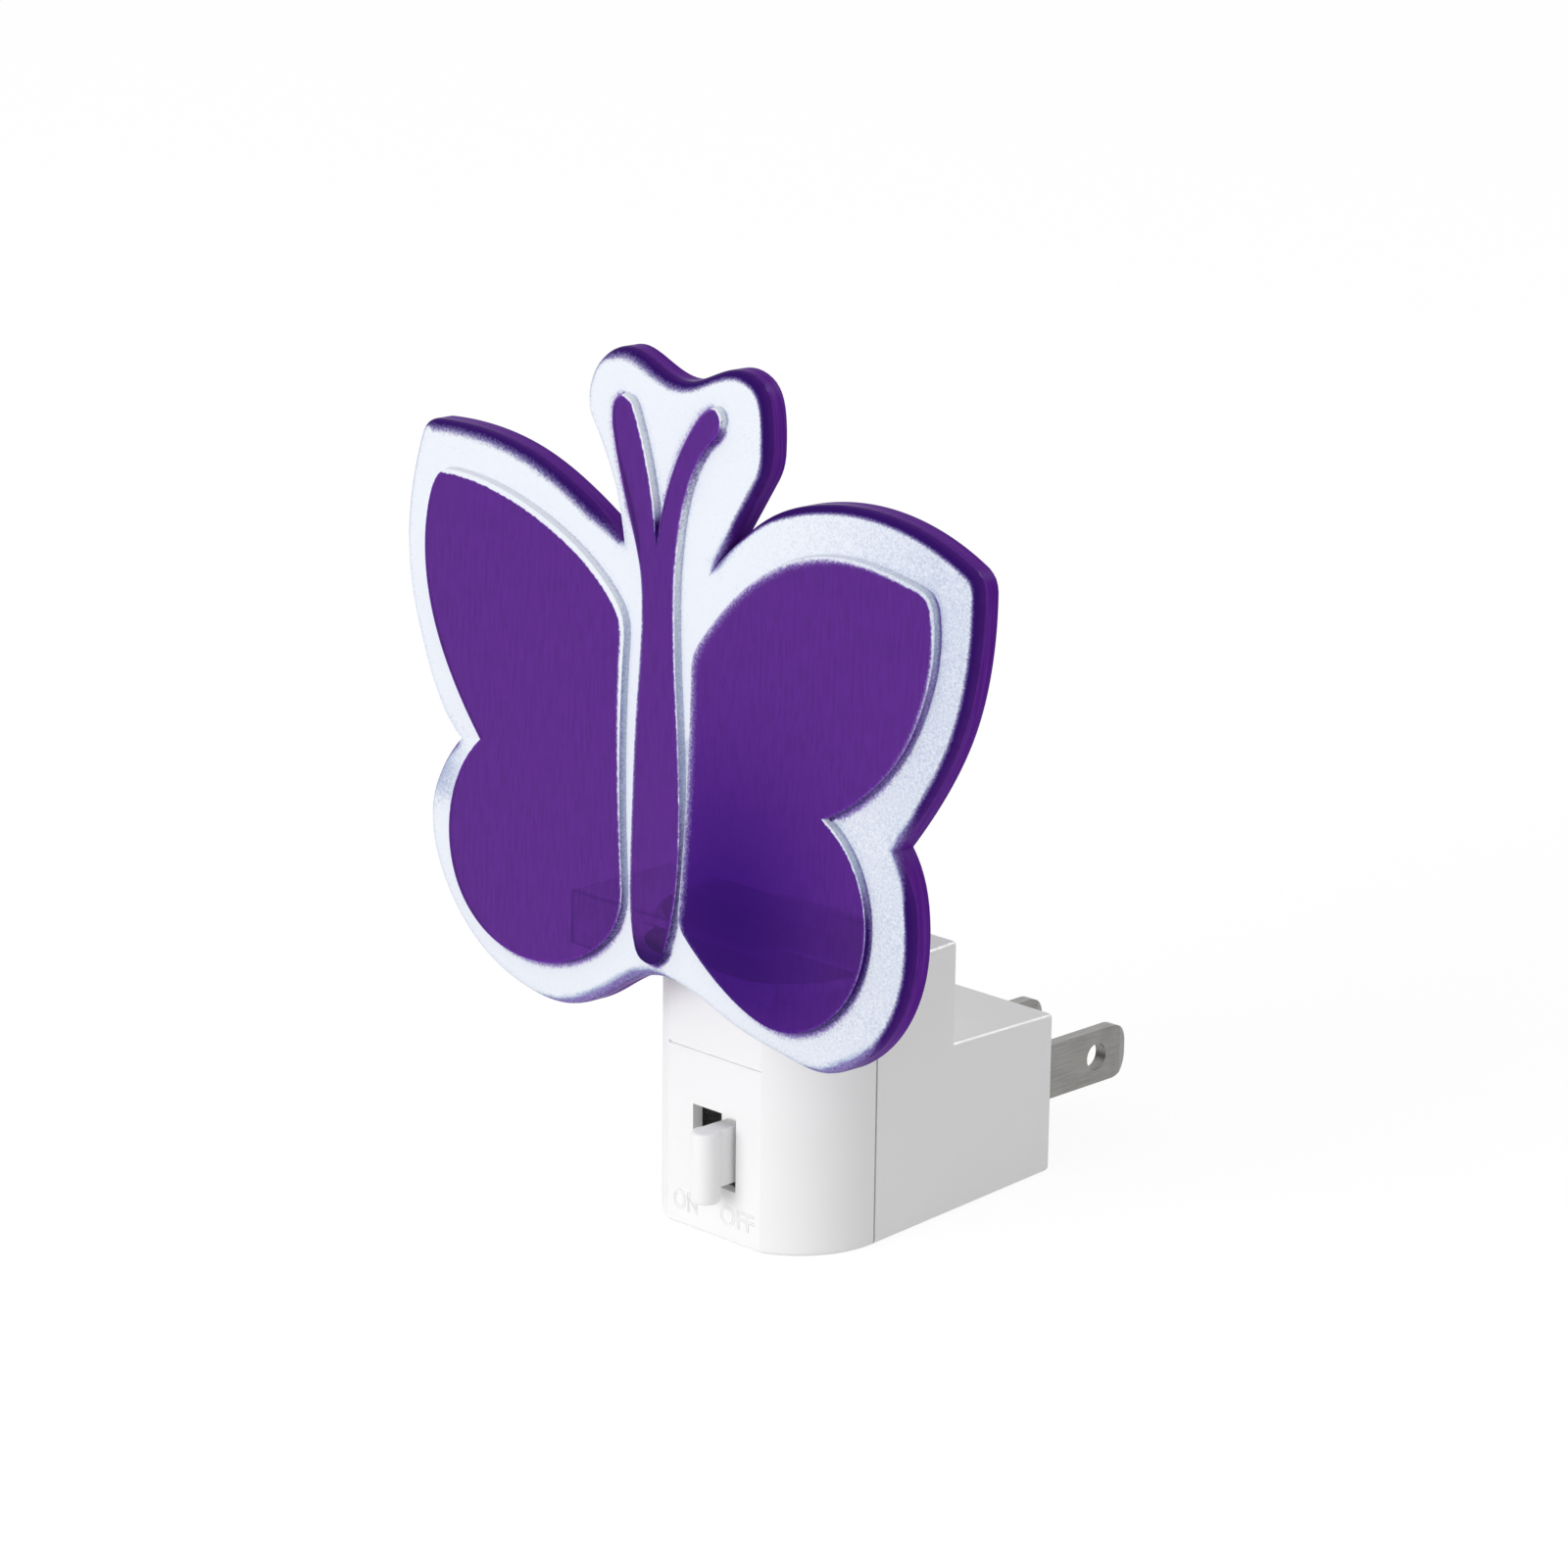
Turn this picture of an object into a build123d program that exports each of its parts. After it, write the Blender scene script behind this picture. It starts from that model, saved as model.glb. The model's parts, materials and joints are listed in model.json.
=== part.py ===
from build123d import *
import math
import os

# Plug-in night light: a butterfly of routed acrylic on a white housing,
# with a slide switch and two flat blades.
# Millimetres, +Z up. The front faces -Y and the blades point along +Y.
# The origin is on the plug face, midway between the blades.

# Housing, seen from above and from the side
housing_width = 27.2
rear_width = 22.0
housing_depth = 42.1
front_flat_width = 14.1
front_cover_depth = 10.8
tower_depth = 24.5
tower_height = 31.3
box_height = 19.6
box_fall = 1.0
blade_axis_height = 9.7
wall = 1.4
edge_radius = 0.6
seam_reveal = 0.3
lip_length = 1.5
lip_thickness = 0.7
groove_height = 20.75
groove_width = 0.3
groove_depth = 0.25

# Switch window and its moving knob
window_width = 6.6
window_height = 8.5
window_centre_height = 10.25
knob_centre_height = 9.4
knob_travel = 3.4
nose_diameter = 3.3
nose_height = 8.1
nose_reach = 2.9
stem_width = 2.3
stem_height = 6.4
flange_width = 4.4
flange_height = 7.4
flange_thickness = 1.2
knob_edge_radius = 0.4

# Slide switch behind the window
switch_width = 13.0
switch_height = 6.4
switch_depth = 4.6
switch_sheet = 0.4
switch_base_thickness = 1.2
lever_width = 2.4
lever_height = 2.6
slider_width = 5.0
slider_height = 4.8
slider_depth = 1.5
bridge_thickness = 0.3
bridge_height = 3.0
bridge_foot_radius = 0.5
terminal_pitch = 3.4
terminal_head_radius = 0.8
terminal_head_thickness = 0.3
terminal_pin_radius = 0.45

# Circuit board and the posts that carry it
board_depth = 8.8
board_thickness = 1.2
board_side_gap = 2.7
board_bottom_height = 3.2
board_top_height = 27.4
post_radius = 2.0
post_spread = 12.4
post_height = 18.2
pilot_depth = 5.5
board_screw_length = 5.7
screw_head_radius = 1.9
screw_head_thickness = 1.2
screw_shank_radius = 0.9
solder_tail = 0.8

# Light source under the panel's foot
led_radius = 2.5
led_flange_radius = 2.9
led_flange_thickness = 1.0
led_length = 8.6
led_depth = 5.2
led_gap = 0.5
led_lead_radius = 0.25
led_lead_pitch = 2.54
led_lead_drop = 1.5
led_lead_bend = 0.8
holder_wall = 0.8
holder_height = 4.0
holder_arm_width = 5.0

# Parts on the back of the board
component_lift = 0.4
lead_middle_gap = 0.5
lead_radius = 0.35
lead_bend_radius = 0.8
lead_reach = 1.4
film_width = 13.0
film_height = 6.2
film_thickness = 5.6
film_edge_radius = 0.5
film_bottom_height = 20.6
film_lead_pitch = 7.5
can_radius = 2.5
can_length = 7.0
can_bead_radius = 0.35
can_bead_offset = 1.4
can_edge_gap = 0.6
can_centre_height = 5.9
can_lead_pitch = 2.0
diode_radius = 1.25
diode_length = 4.6
diode_row_heights = (4.7, 7.5, 12.2, 14.9)
resistor_radius = 1.15
resistor_waist_radius = 0.95
resistor_cap_length = 1.3
resistor_length = 5.0
bleed_resistor_height = 12.2
series_resistor_height = 14.9

# Plug blades and what holds them
blade_spacing = 12.7
blade_height = 6.35
blade_thickness = 1.5
blade_length = 17.1
blade_tip_radius = 2.6
blade_tip_thickness = 0.8
blade_taper_length = 1.2
blade_hole_diameter = 3.18
blade_hole_reach = 11.9
shoulder_height = 9.2
shoulder_length = 1.2
tail_height = 4.0
tail_length = 7.0
retainer_width = 17.6
retainer_height = 10.4
retainer_thickness = 1.8
retainer_boss_radius = 2.3
retainer_screw_length = 3.6

# Wires from the blade tails to the board
wire_diameter = 1.6
wire_bend_radius = 6.0
wire_straight = 4.0
wire_edge_gap = 1.1

# Acrylic panel: an outline with raised fields, standing in front of the housing
panel_width = 84.4
panel_height = 72.9
panel_thickness = 4.0
relief_depth = 0.9
panel_shift = 1.2
panel_drop = 6.5
panel_gap = 5.5
panel_lean = 1.5
panel_edge_radius = 1.0

# Acrylic foot behind the panel, with a tenon that enters the housing
foot_width = 31.0
foot_height = 5.9
foot_seat_depth = 9.6
foot_edge_radius = 0.4
tenon_width = 16.0
tenon_front_depth = 3.2
tenon_rear_depth = 7.6
tenon_length = 3.2

# Clearances and the overrun of cuts
fit_clearance = 0.1
slide_clearance = 0.2
overrun = 1.0

# Outline shares: across half the panel's width from its middle, and up its height; one row for each run
# between corners, round the panel from the bottom: lobe, wing and antenna tab, right then left
outline_shares = (
    (
        (-0.024, 0.091), (0.066, 0.085), (0.242, 0.052), (0.415, 0.032), (0.54, 0.026), (0.649, 0.051),
        (0.758, 0.112), (0.818, 0.192), (0.827, 0.272), (0.803, 0.339), (0.761, 0.38),
    ),
    ((0.761, 0.38), (0.872, 0.473), (0.95, 0.565), (0.993, 0.672), (1.0, 0.728), (0.998, 0.785)),
    (
        (0.998, 0.785), (0.839, 0.826), (0.647, 0.845), (0.455, 0.835), (0.315, 0.807), (0.218, 0.767),
        (0.128, 0.711),
    ),
    ((0.128, 0.711), (0.296, 0.866)),
    (
        (0.296, 0.866), (0.294, 0.938), (0.265, 0.981), (0.185, 0.999), (0.1, 0.986), (-0.002, 0.968),
        (-0.114, 0.986), (-0.201, 1.0), (-0.28, 0.982), (-0.332, 0.934), (-0.329, 0.893),
    ),
    ((-0.329, 0.893), (-0.237, 0.8), (-0.185, 0.715)),
    ((-0.185, 0.715), (-0.363, 0.775), (-0.543, 0.816), (-0.765, 0.835), (-0.936, 0.831)),
    ((-0.936, 0.831), (-0.995, 0.705), (-0.995, 0.598), (-0.938, 0.487), (-0.858, 0.401), (-0.775, 0.361)),
    (
        (-0.775, 0.361), (-0.844, 0.317), (-0.884, 0.273), (-0.893, 0.213), (-0.829, 0.122),
        (-0.687, 0.043), (-0.528, 0.007), (-0.379, 0.001), (-0.242, 0.03), (-0.118, 0.075),
        (-0.024, 0.091),
    ),
)
# Shares of the raised fields in the same way: top, outer side, lobe and inner side of each wing
left_field_shares = (
    ((-0.154, 0.612), (-0.282, 0.68), (-0.472, 0.733), (-0.656, 0.761), (-0.853, 0.767)),
    ((-0.853, 0.767), (-0.9, 0.678), (-0.879, 0.561), (-0.777, 0.443), (-0.68, 0.372)),
    (
        (-0.68, 0.372), (-0.775, 0.291), (-0.794, 0.211), (-0.744, 0.128), (-0.628, 0.075),
        (-0.467, 0.06), (-0.313, 0.082), (-0.19, 0.133), (-0.14, 0.189),
    ),
    ((-0.14, 0.189), (-0.164, 0.398), (-0.154, 0.612)),
)
right_field_shares = (
    (
        (0.081, 0.583), (0.164, 0.646), (0.294, 0.715), (0.422, 0.756), (0.583, 0.775), (0.744, 0.768),
        (0.867, 0.753),
    ),
    ((0.867, 0.753), (0.886, 0.693), (0.86, 0.602), (0.796, 0.523), (0.699, 0.46), (0.547, 0.401)),
    (
        (0.547, 0.401), (0.642, 0.354), (0.697, 0.273), (0.673, 0.181), (0.578, 0.111), (0.424, 0.075),
        (0.256, 0.099), (0.055, 0.184),
    ),
    ((0.055, 0.184), (0.078, 0.39), (0.081, 0.583)),
)
# Shares of the raised body: foot, right side, right antenna's tip and inside, then the left ones
body_shares = (
    ((-0.081, 0.121), (-0.043, 0.108), (-0.002, 0.128)),
    (
        (-0.002, 0.128), (0.04, 0.204), (0.055, 0.322), (0.045, 0.436), (0.024, 0.575), (0.017, 0.684),
        (0.038, 0.791), (0.09, 0.86), (0.171, 0.903),
    ),
    ((0.171, 0.903), (0.182, 0.93), (0.149, 0.94)),
    ((0.149, 0.94), (0.088, 0.908), (0.012, 0.841), (-0.05, 0.73)),
    ((-0.05, 0.73), (-0.083, 0.815), (-0.126, 0.882), (-0.164, 0.927)),
    ((-0.164, 0.927), (-0.199, 0.933), (-0.223, 0.914)),
    (
        (-0.223, 0.914), (-0.204, 0.86), (-0.154, 0.772), (-0.107, 0.691), (-0.097, 0.63),
        (-0.109, 0.476), (-0.116, 0.287), (-0.104, 0.163), (-0.081, 0.121),
    ),
)

# Places worked out from the sizes above
front_y = -housing_depth
floor_z = -blade_axis_height
seam_y = front_y + front_cover_depth
tower_rear_y = front_y + tower_depth
top_z = floor_z + tower_height
board_y = front_y + board_depth
board_rear_y = board_y + board_thickness
board_half = housing_width / 2 - wall - board_side_gap
diode_centre_x = lead_middle_gap + lead_reach + diode_length / 2
resistor_centre_x = -(lead_middle_gap + lead_reach + resistor_length / 2)
can_centre_x = -(board_half - can_edge_gap - can_radius)
nose_z = floor_z + knob_centre_height
switch_z = floor_z + window_centre_height
knob_rest_x = knob_travel / 2
flange_y = front_y + wall + slide_clearance
switch_front_y = board_y - switch_depth
slider_y = switch_front_y + switch_sheet + fit_clearance
terminal_y = board_y - switch_base_thickness
plug_inner_y = -wall
shoulder_y = plug_inner_y - shoulder_length
retainer_y = shoulder_y - retainer_thickness
tail_y = shoulder_y - tail_length
led_y = front_y + led_depth
led_top_z = top_z - tenon_length - led_gap
led_flange_z = led_top_z - led_length


def block(width, y_from, y_to, z_from, z_to, centre_x=0.0):
    """A box centred on centre_x, between two places in depth and two in height."""
    place = Pos(centre_x, (y_from + y_to) / 2, (z_from + z_to) / 2)
    return place * Box(width, y_to - y_from, z_to - z_from)


def plate(width, height, y_from, y_to, z, centre_x=0.0):
    """A box centred on a height, between two places in depth."""
    return block(width, y_from, y_to, z - height / 2, z + height / 2, centre_x)


def rod(radius, y_from, y_to, x, z):
    """A round bar along Y."""
    return Pos(x, (y_from + y_to) / 2, z) * Rot(90, 0, 0) * Cylinder(radius, y_to - y_from)


def wire(points, bend_radius, radius):
    """A round wire along straight runs joined by arcs."""
    path = FilletPolyline(*points, radius=bend_radius)
    section = Plane(path @ 0, z_dir=path % 0) * Circle(radius)
    return sweep(section, path=path)


def fuse(solids):
    """One solid from several that overlap."""
    whole = solids[0]
    for other in solids[1:]:
        whole += other
    return whole


def housing_plan():
    """The housing from above: a flat front, arcs that run into the flanks, and a narrower rear."""
    half = housing_width / 2
    flat = front_flat_width / 2
    rear = rear_width / 2
    front = Line((-flat, front_y), (flat, front_y))
    right_arc = TangentArc((half, seam_y), (flat, front_y), tangent=(half - rear, seam_y))
    left_arc = mirror(right_arc, about=Plane.YZ)
    back = Polyline((half, seam_y), (rear, 0), (-rear, 0), (-half, seam_y))
    return make_face([front, right_arc, back.edges(), left_arc])


def housing_side():
    """The housing from the side: a tall front tower and a lower box that falls to the plug face."""
    points = (
        (front_y, floor_z),
        (0, floor_z),
        (0, floor_z + box_height - box_fall),
        (tower_rear_y, floor_z + box_height),
        (tower_rear_y, top_z),
        (front_y, top_z),
    )
    return make_face(Polyline(*points, close=True))


def housing_form(inset):
    """The housing's outer form, or a smaller one inside it when there is an inset."""
    plan = housing_plan()
    side = housing_side()
    if inset > 0:
        plan = offset(plan, amount=-inset, kind=Kind.INTERSECTION)
        side = offset(side, amount=-inset, kind=Kind.INTERSECTION)
    upright = Pos(0, 0, floor_z) * extrude(plan, amount=tower_height)
    across = extrude(Plane.YZ * side, amount=housing_width, both=True)
    return upright & across


def between(y_from, y_to):
    """A block that holds everything of the housing between two places in depth."""
    return block(2 * housing_width, y_from, y_to, floor_z - overrun, top_z + overrun)


def rounded_half(y_from, y_to, open_y):
    """The housing's outer form between two places in depth, rounded where its edges are moulded round.
    The creases of the front, the step's corner and the edges round the open end stay sharp."""
    half = housing_form(0) & between(y_from, y_to)
    edges = half.edges()
    creases = edges.filter_by(Axis.Z).filter_by(lambda edge: edge.center().Y < tower_rear_y - wall)
    step_z = floor_z + box_height
    cross_edges = edges.filter_by(Axis.X)
    step_corner = cross_edges.filter_by(lambda edge: abs(edge.center().Z - step_z) < fit_clearance)
    open_edges = edges.filter_by(lambda edge: abs(edge.center().Y - open_y) < fit_clearance)
    return fillet(edges - creases - step_corner - open_edges, edge_radius)


def screw(x, z, seat_y, length, direction):
    """A pan-head screw along Y, its head under the seat and its shank going in the given direction."""
    head_end = seat_y - direction * screw_head_thickness
    shank_end = seat_y + direction * length
    head = rod(screw_head_radius, min(seat_y, head_end), max(seat_y, head_end), x, z)
    rim = head.faces().sort_by(Axis.Y)[0 if direction > 0 else -1].edges()
    head = fillet(rim, screw_head_thickness / 2)
    shank = rod(screw_shank_radius, min(head_end, shank_end), max(head_end, shank_end), x, z)
    return head + shank


def board_posts():
    """Places of the two posts that carry the board, across the housing."""
    return (-post_spread / 2, post_spread / 2)


def front_cover():
    """The front half: a shell with a lip at the seam, the window, a fine line and the foot's slot."""
    shell = rounded_half(front_y - overrun, seam_y, seam_y) - housing_form(wall)
    lip_outer = housing_form(wall + fit_clearance)
    lip_inner = housing_form(wall + fit_clearance + lip_thickness)
    root = (housing_form(wall) - lip_inner) & between(seam_y - lip_length, seam_y)
    tongue = (lip_outer - lip_inner) & between(seam_y - lip_length, seam_y + lip_length)
    cover = shell + root + tongue
    post_z = floor_z + post_height
    for x in board_posts():
        cover += rod(post_radius, front_y + wall / 2, board_y, x, post_z)
    pilot = screw_shank_radius + fit_clearance
    for x in board_posts():
        cover -= rod(pilot, board_y - pilot_depth, board_y + overrun, x, post_z)
    cover -= plate(window_width, window_height, front_y - overrun, front_y + wall + overrun, switch_z)
    groove_z = floor_z + groove_height
    cover -= plate(front_flat_width, groove_width, front_y - overrun, front_y + groove_depth, groove_z)
    slot_front = front_y + tenon_front_depth - fit_clearance
    slot_rear = front_y + tenon_rear_depth + fit_clearance
    slot_width = tenon_width + 2 * fit_clearance
    cover -= block(slot_width, slot_front, slot_rear, top_z - wall - overrun, top_z + overrun)
    return cover


def rear_cover():
    """The rear half: a shell with the step, the blade slots and a boss for the blade retainer."""
    open_y = seam_y + seam_reveal
    cover = rounded_half(open_y, overrun, open_y) - housing_form(wall)
    cover += rod(retainer_boss_radius, shoulder_y, plug_inner_y + wall / 2, 0, 0)
    pilot = screw_shank_radius + fit_clearance
    cover -= rod(pilot, shoulder_y - overrun, retainer_y + retainer_screw_length + fit_clearance, 0, 0)
    slot_width = blade_thickness + 2 * fit_clearance
    slot_height = blade_height + 2 * fit_clearance
    for x in blade_places():
        cover -= plate(slot_width, slot_height, plug_inner_y - overrun, overrun, 0, x)
    return cover


def blade_places():
    """Places of the two blades across the plug face."""
    return (-blade_spacing / 2, blade_spacing / 2)


def blade(x):
    """A flat blade with a tapered end, a hole, a shoulder inside the plug wall and a solder tail."""
    half = blade_thickness / 2
    tip = blade_tip_thickness / 2
    taper_y = blade_length - blade_taper_length
    right_side = [(half, plug_inner_y), (half, taper_y), (tip, blade_length)]
    left_side = [(-across, y) for across, y in reversed(right_side)]
    plan = make_face(Polyline(*right_side, *left_side, close=True))
    prong = extrude(Pos(x, 0, 0) * plan, amount=blade_height / 2, both=True)
    corners = prong.edges().filter_by(Axis.X).group_by(Axis.Y)[-1]
    prong = fillet(corners, blade_tip_radius)
    shoulder = plate(blade_thickness, shoulder_height, shoulder_y, plug_inner_y, 0, x)
    tail = plate(blade_thickness, tail_height, tail_y, shoulder_y, 0, x)
    drill = Cylinder(blade_hole_diameter / 2, blade_thickness + overrun)
    hole = Pos(x, blade_hole_reach, 0) * Rot(0, 90, 0) * drill
    return prong + shoulder + tail - hole


def blade_retainer():
    """A bar that presses the blades' shoulders against the plug wall, with slots for their tails."""
    bar = plate(retainer_width, retainer_height, retainer_y, shoulder_y, 0)
    slot_width = blade_thickness + 2 * fit_clearance
    slot_height = tail_height + 2 * fit_clearance
    for x in blade_places():
        bar -= plate(slot_width, slot_height, retainer_y - overrun, shoulder_y + overrun, 0, x)
    return bar - rod(screw_shank_radius + fit_clearance, retainer_y - overrun, shoulder_y + overrun, 0, 0)


def terminal_places():
    """Places of the switch's three terminals across the housing."""
    return (-terminal_pitch, 0.0, terminal_pitch)


def switch_knob():
    """The knob that a finger slides: a round upright nose, a narrow stem and a flange behind the window."""
    nose_y = front_y - nose_reach
    nose = Pos(knob_rest_x, nose_y, nose_z) * Cylinder(nose_diameter / 2, nose_height)
    nose = fillet(nose.edges().filter_by(GeomType.CIRCLE), knob_edge_radius)
    flange_end = flange_y + flange_thickness
    stem = plate(stem_width, stem_height, nose_y, flange_end, switch_z, knob_rest_x)
    flange = plate(flange_width, flange_height, flange_y, flange_end, switch_z, knob_rest_x)
    return nose + stem + flange


def switch_slider():
    """The switch's own slider, with the lever that the knob sits on."""
    lever_y = flange_y + flange_thickness
    shoe_end = slider_y + slider_depth
    lever = plate(lever_width, lever_height, lever_y, shoe_end, switch_z, knob_rest_x)
    shoe = plate(slider_width, slider_height, slider_y, shoe_end, switch_z, knob_rest_x)
    return lever + shoe


def contact_bridge():
    """The sprung strip behind the slider, with two round feet that bridge neighbouring terminals."""
    seat_y = slider_y + slider_depth
    strip_y = seat_y + bridge_thickness
    bridge_width = terminal_pitch + 2 * bridge_foot_radius
    strip = plate(bridge_width, bridge_height, seat_y, strip_y, switch_z, knob_rest_x)
    for side in (-1, 1):
        foot_x = knob_rest_x + side * terminal_pitch / 2
        foot = Pos(foot_x, strip_y, switch_z) * Cylinder(bridge_foot_radius, bridge_height)
        strip += foot & between(seat_y, board_y)
    return strip


def switch_frame():
    """The switch's sheet-metal can, open towards the board, with a slot for the lever."""
    can = plate(switch_width, switch_height, switch_front_y, board_y, switch_z)
    inner_width = switch_width - 2 * switch_sheet
    inner_height = switch_height - 2 * switch_sheet
    can -= plate(inner_width, inner_height, switch_front_y + switch_sheet, board_y + overrun, switch_z)
    slot_width = lever_width + knob_travel + 2 * slide_clearance
    slot_height = lever_height + 2 * slide_clearance
    return can - plate(slot_width, slot_height, switch_front_y - overrun, slider_y, switch_z)


def switch_base():
    """The insulating base that carries the terminals, inside the can and against the board."""
    width = switch_width - 2 * switch_sheet - 2 * fit_clearance
    height = switch_height - 2 * switch_sheet - 2 * fit_clearance
    base = plate(width, height, terminal_y, board_y, switch_z)
    for x in terminal_places():
        base -= rod(terminal_pin_radius + fit_clearance, terminal_y - overrun, board_y + overrun, x, switch_z)
    return base


def switch_terminals():
    """Three riveted contacts whose pins pass through the base and the board."""
    solids = []
    head_y = terminal_y - terminal_head_thickness
    for x in terminal_places():
        head = rod(terminal_head_radius, head_y, terminal_y, x, switch_z)
        pin = rod(terminal_pin_radius, head_y, board_rear_y + solder_tail, x, switch_z)
        solids.append(head + pin)
    return Compound(solids)


def led_lead_places():
    """Places of the lamp's two leads across the housing."""
    return (-led_lead_pitch / 2, led_lead_pitch / 2)


def led_lamp():
    """A round lamp with a flange and a domed end, shining up."""
    barrel_top = led_top_z - led_radius
    barrel_length = barrel_top - led_flange_z
    barrel = Pos(0, led_y, led_flange_z + barrel_length / 2) * Cylinder(led_radius, barrel_length)
    dome = Pos(0, led_y, barrel_top) * Sphere(led_radius)
    flange_middle = Pos(0, led_y, led_flange_z + led_flange_thickness / 2)
    flange = flange_middle * Cylinder(led_flange_radius, led_flange_thickness)
    return barrel + dome + flange


def led_leads():
    """Two leads that drop from the lamp and turn back through the board."""
    solids = []
    bend_z = led_flange_z - led_lead_drop
    for x in led_lead_places():
        points = ((x, led_y, led_flange_z), (x, led_y, bend_z), (x, board_rear_y + solder_tail, bend_z))
        solids.append(wire(points, led_lead_bend, led_lead_radius))
    return Compound(solids)


def led_holder():
    """A collar round the lamp, on its flange, with an arm that rests on the board."""
    bore = led_radius + fit_clearance
    bottom = led_flange_z + led_flange_thickness
    centre = Pos(0, led_y, bottom + holder_height / 2)
    collar = centre * Cylinder(bore + holder_wall, holder_height)
    arm = block(holder_arm_width, led_y, board_y, bottom, bottom + holder_height)
    return collar + arm - centre * Cylinder(bore, holder_height + overrun)


def lead_span(length):
    """How far from a lying component's middle its leads enter the board."""
    return length / 2 + lead_reach


def lying_leads(x, z, radius, length):
    """The two leads of a component that lies along the board, bent into it."""
    y = board_rear_y + component_lift + radius
    solids = []
    for side in (-1, 1):
        outer_x = x + side * lead_span(length)
        points = ((x, y, z), (outer_x, y, z), (outer_x, board_y, z))
        solids.append(wire(points, lead_bend_radius, lead_radius))
    return solids


def lying_bar(radius, length, bar_radius, x, z):
    """A round bar along X at the height over the board of a lying component."""
    y = board_rear_y + component_lift + radius
    return Pos(x, y, z) * Rot(0, 90, 0) * Cylinder(bar_radius, length)


def diode(z):
    """A diode with a plain round body."""
    body = lying_bar(diode_radius, diode_length, diode_radius, diode_centre_x, z)
    return fuse([body] + lying_leads(diode_centre_x, z, diode_radius, diode_length))


def resistor(z):
    """A resistor with a narrower waist between its end caps."""
    waist = lying_bar(resistor_radius, resistor_length, resistor_waist_radius, resistor_centre_x, z)
    cap_offset = (resistor_length - resistor_cap_length) / 2
    caps = []
    for side in (-1, 1):
        cap_x = resistor_centre_x + side * cap_offset
        caps.append(lying_bar(resistor_radius, resistor_cap_length, resistor_radius, cap_x, z))
    return fuse([waist] + caps + lying_leads(resistor_centre_x, z, resistor_radius, resistor_length))


def film_capacitor():
    """A boxed film capacitor with two straight leads."""
    near_y = board_rear_y + component_lift
    bottom = floor_z + film_bottom_height
    box = block(film_width, near_y, near_y + film_thickness, bottom, bottom + film_height)
    box = fillet(box.edges(), film_edge_radius)
    leads = []
    for x in film_lead_places():
        leads.append(rod(lead_radius, board_y, near_y + film_thickness / 2, x, bottom + film_height / 2))
    return fuse([box] + leads)


def film_lead_places():
    """Places of the film capacitor's leads across the board."""
    return (-film_lead_pitch / 2, film_lead_pitch / 2)


def smoothing_capacitor():
    """A round can that stands off the board, with its crimped bead and two leads."""
    near_y = board_rear_y + component_lift
    z = floor_z + can_centre_height
    can = rod(can_radius, near_y, near_y + can_length, can_centre_x, z)
    can = fillet(can.edges().filter_by(GeomType.CIRCLE), can_bead_radius)
    bead_place = Pos(can_centre_x, near_y + can_bead_offset, z)
    bead = bead_place * Rot(90, 0, 0) * Torus(can_radius, can_bead_radius)
    leads = []
    for x in can_lead_places():
        leads.append(rod(lead_radius, board_y, near_y + can_length / 2, x, z))
    return fuse([can - bead] + leads)


def can_lead_places():
    """Places of the round capacitor's leads across the board."""
    return (can_centre_x - can_lead_pitch / 2, can_centre_x + can_lead_pitch / 2)


def circuit_board():
    """The board, with a hole for each lead, pin and screw."""
    bottom_z = floor_z + board_bottom_height
    top_edge_z = floor_z + board_top_height
    board = block(2 * board_half, board_y, board_rear_y, bottom_z, top_edge_z)
    holes = []
    for x in board_posts():
        holes.append((x, floor_z + post_height, screw_shank_radius))
    for x in terminal_places():
        holes.append((x, switch_z, terminal_pin_radius))
    for x in led_lead_places():
        holes.append((x, led_flange_z - led_lead_drop, led_lead_radius))
    for x in film_lead_places():
        holes.append((x, floor_z + film_bottom_height + film_height / 2, lead_radius))
    for x in can_lead_places():
        holes.append((x, floor_z + can_centre_height, lead_radius))
    for side in (-1, 1):
        diode_x = diode_centre_x + side * lead_span(diode_length)
        for height in diode_row_heights:
            holes.append((diode_x, floor_z + height, lead_radius))
        resistor_x = resistor_centre_x + side * lead_span(resistor_length)
        for height in (bleed_resistor_height, series_resistor_height):
            holes.append((resistor_x, floor_z + height, lead_radius))
    for x, z, radius in holes:
        board -= rod(radius + fit_clearance, board_y - overrun, board_rear_y + overrun, x, z)
    return board


def blade_wire(side):
    """An insulated wire from the back of the board to a blade's tail."""
    board_x = side * (board_half - wire_edge_gap)
    blade_x = side * blade_spacing / 2
    points = (
        (board_x, board_rear_y, 0),
        (board_x, board_rear_y + wire_straight, 0),
        (blade_x, tail_y - wire_straight, 0),
        (blade_x, tail_y, 0),
    )
    return wire(points, wire_bend_radius, wire_diameter / 2)


def panel_points(shares):
    """Points on the panel from shares of half its width and of its height."""
    return [(across * panel_width / 2, up * panel_height) for across, up in shares]


def figure(runs):
    """A flat figure of the panel from the runs of its outline."""
    return make_face([Spline(*panel_points(shares)) for shares in runs])


def butterfly_panel():
    """The acrylic plate: a slab of the outline, with the wing fields and the body standing proud."""
    panel = extrude(Plane.XZ * figure(outline_shares), amount=panel_thickness - relief_depth)
    panel = fillet(panel.faces().sort_by(Axis.Y)[0].edges(), panel_edge_radius)
    for runs in (left_field_shares, right_field_shares, body_shares):
        panel += extrude(Plane.XZ * figure(runs), amount=panel_thickness)
    back_y = front_y - panel_gap - math.tan(math.radians(panel_lean)) * panel_drop
    return Pos(panel_shift, back_y, top_z - panel_drop) * Rot(-panel_lean, 0, 0) * panel


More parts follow.
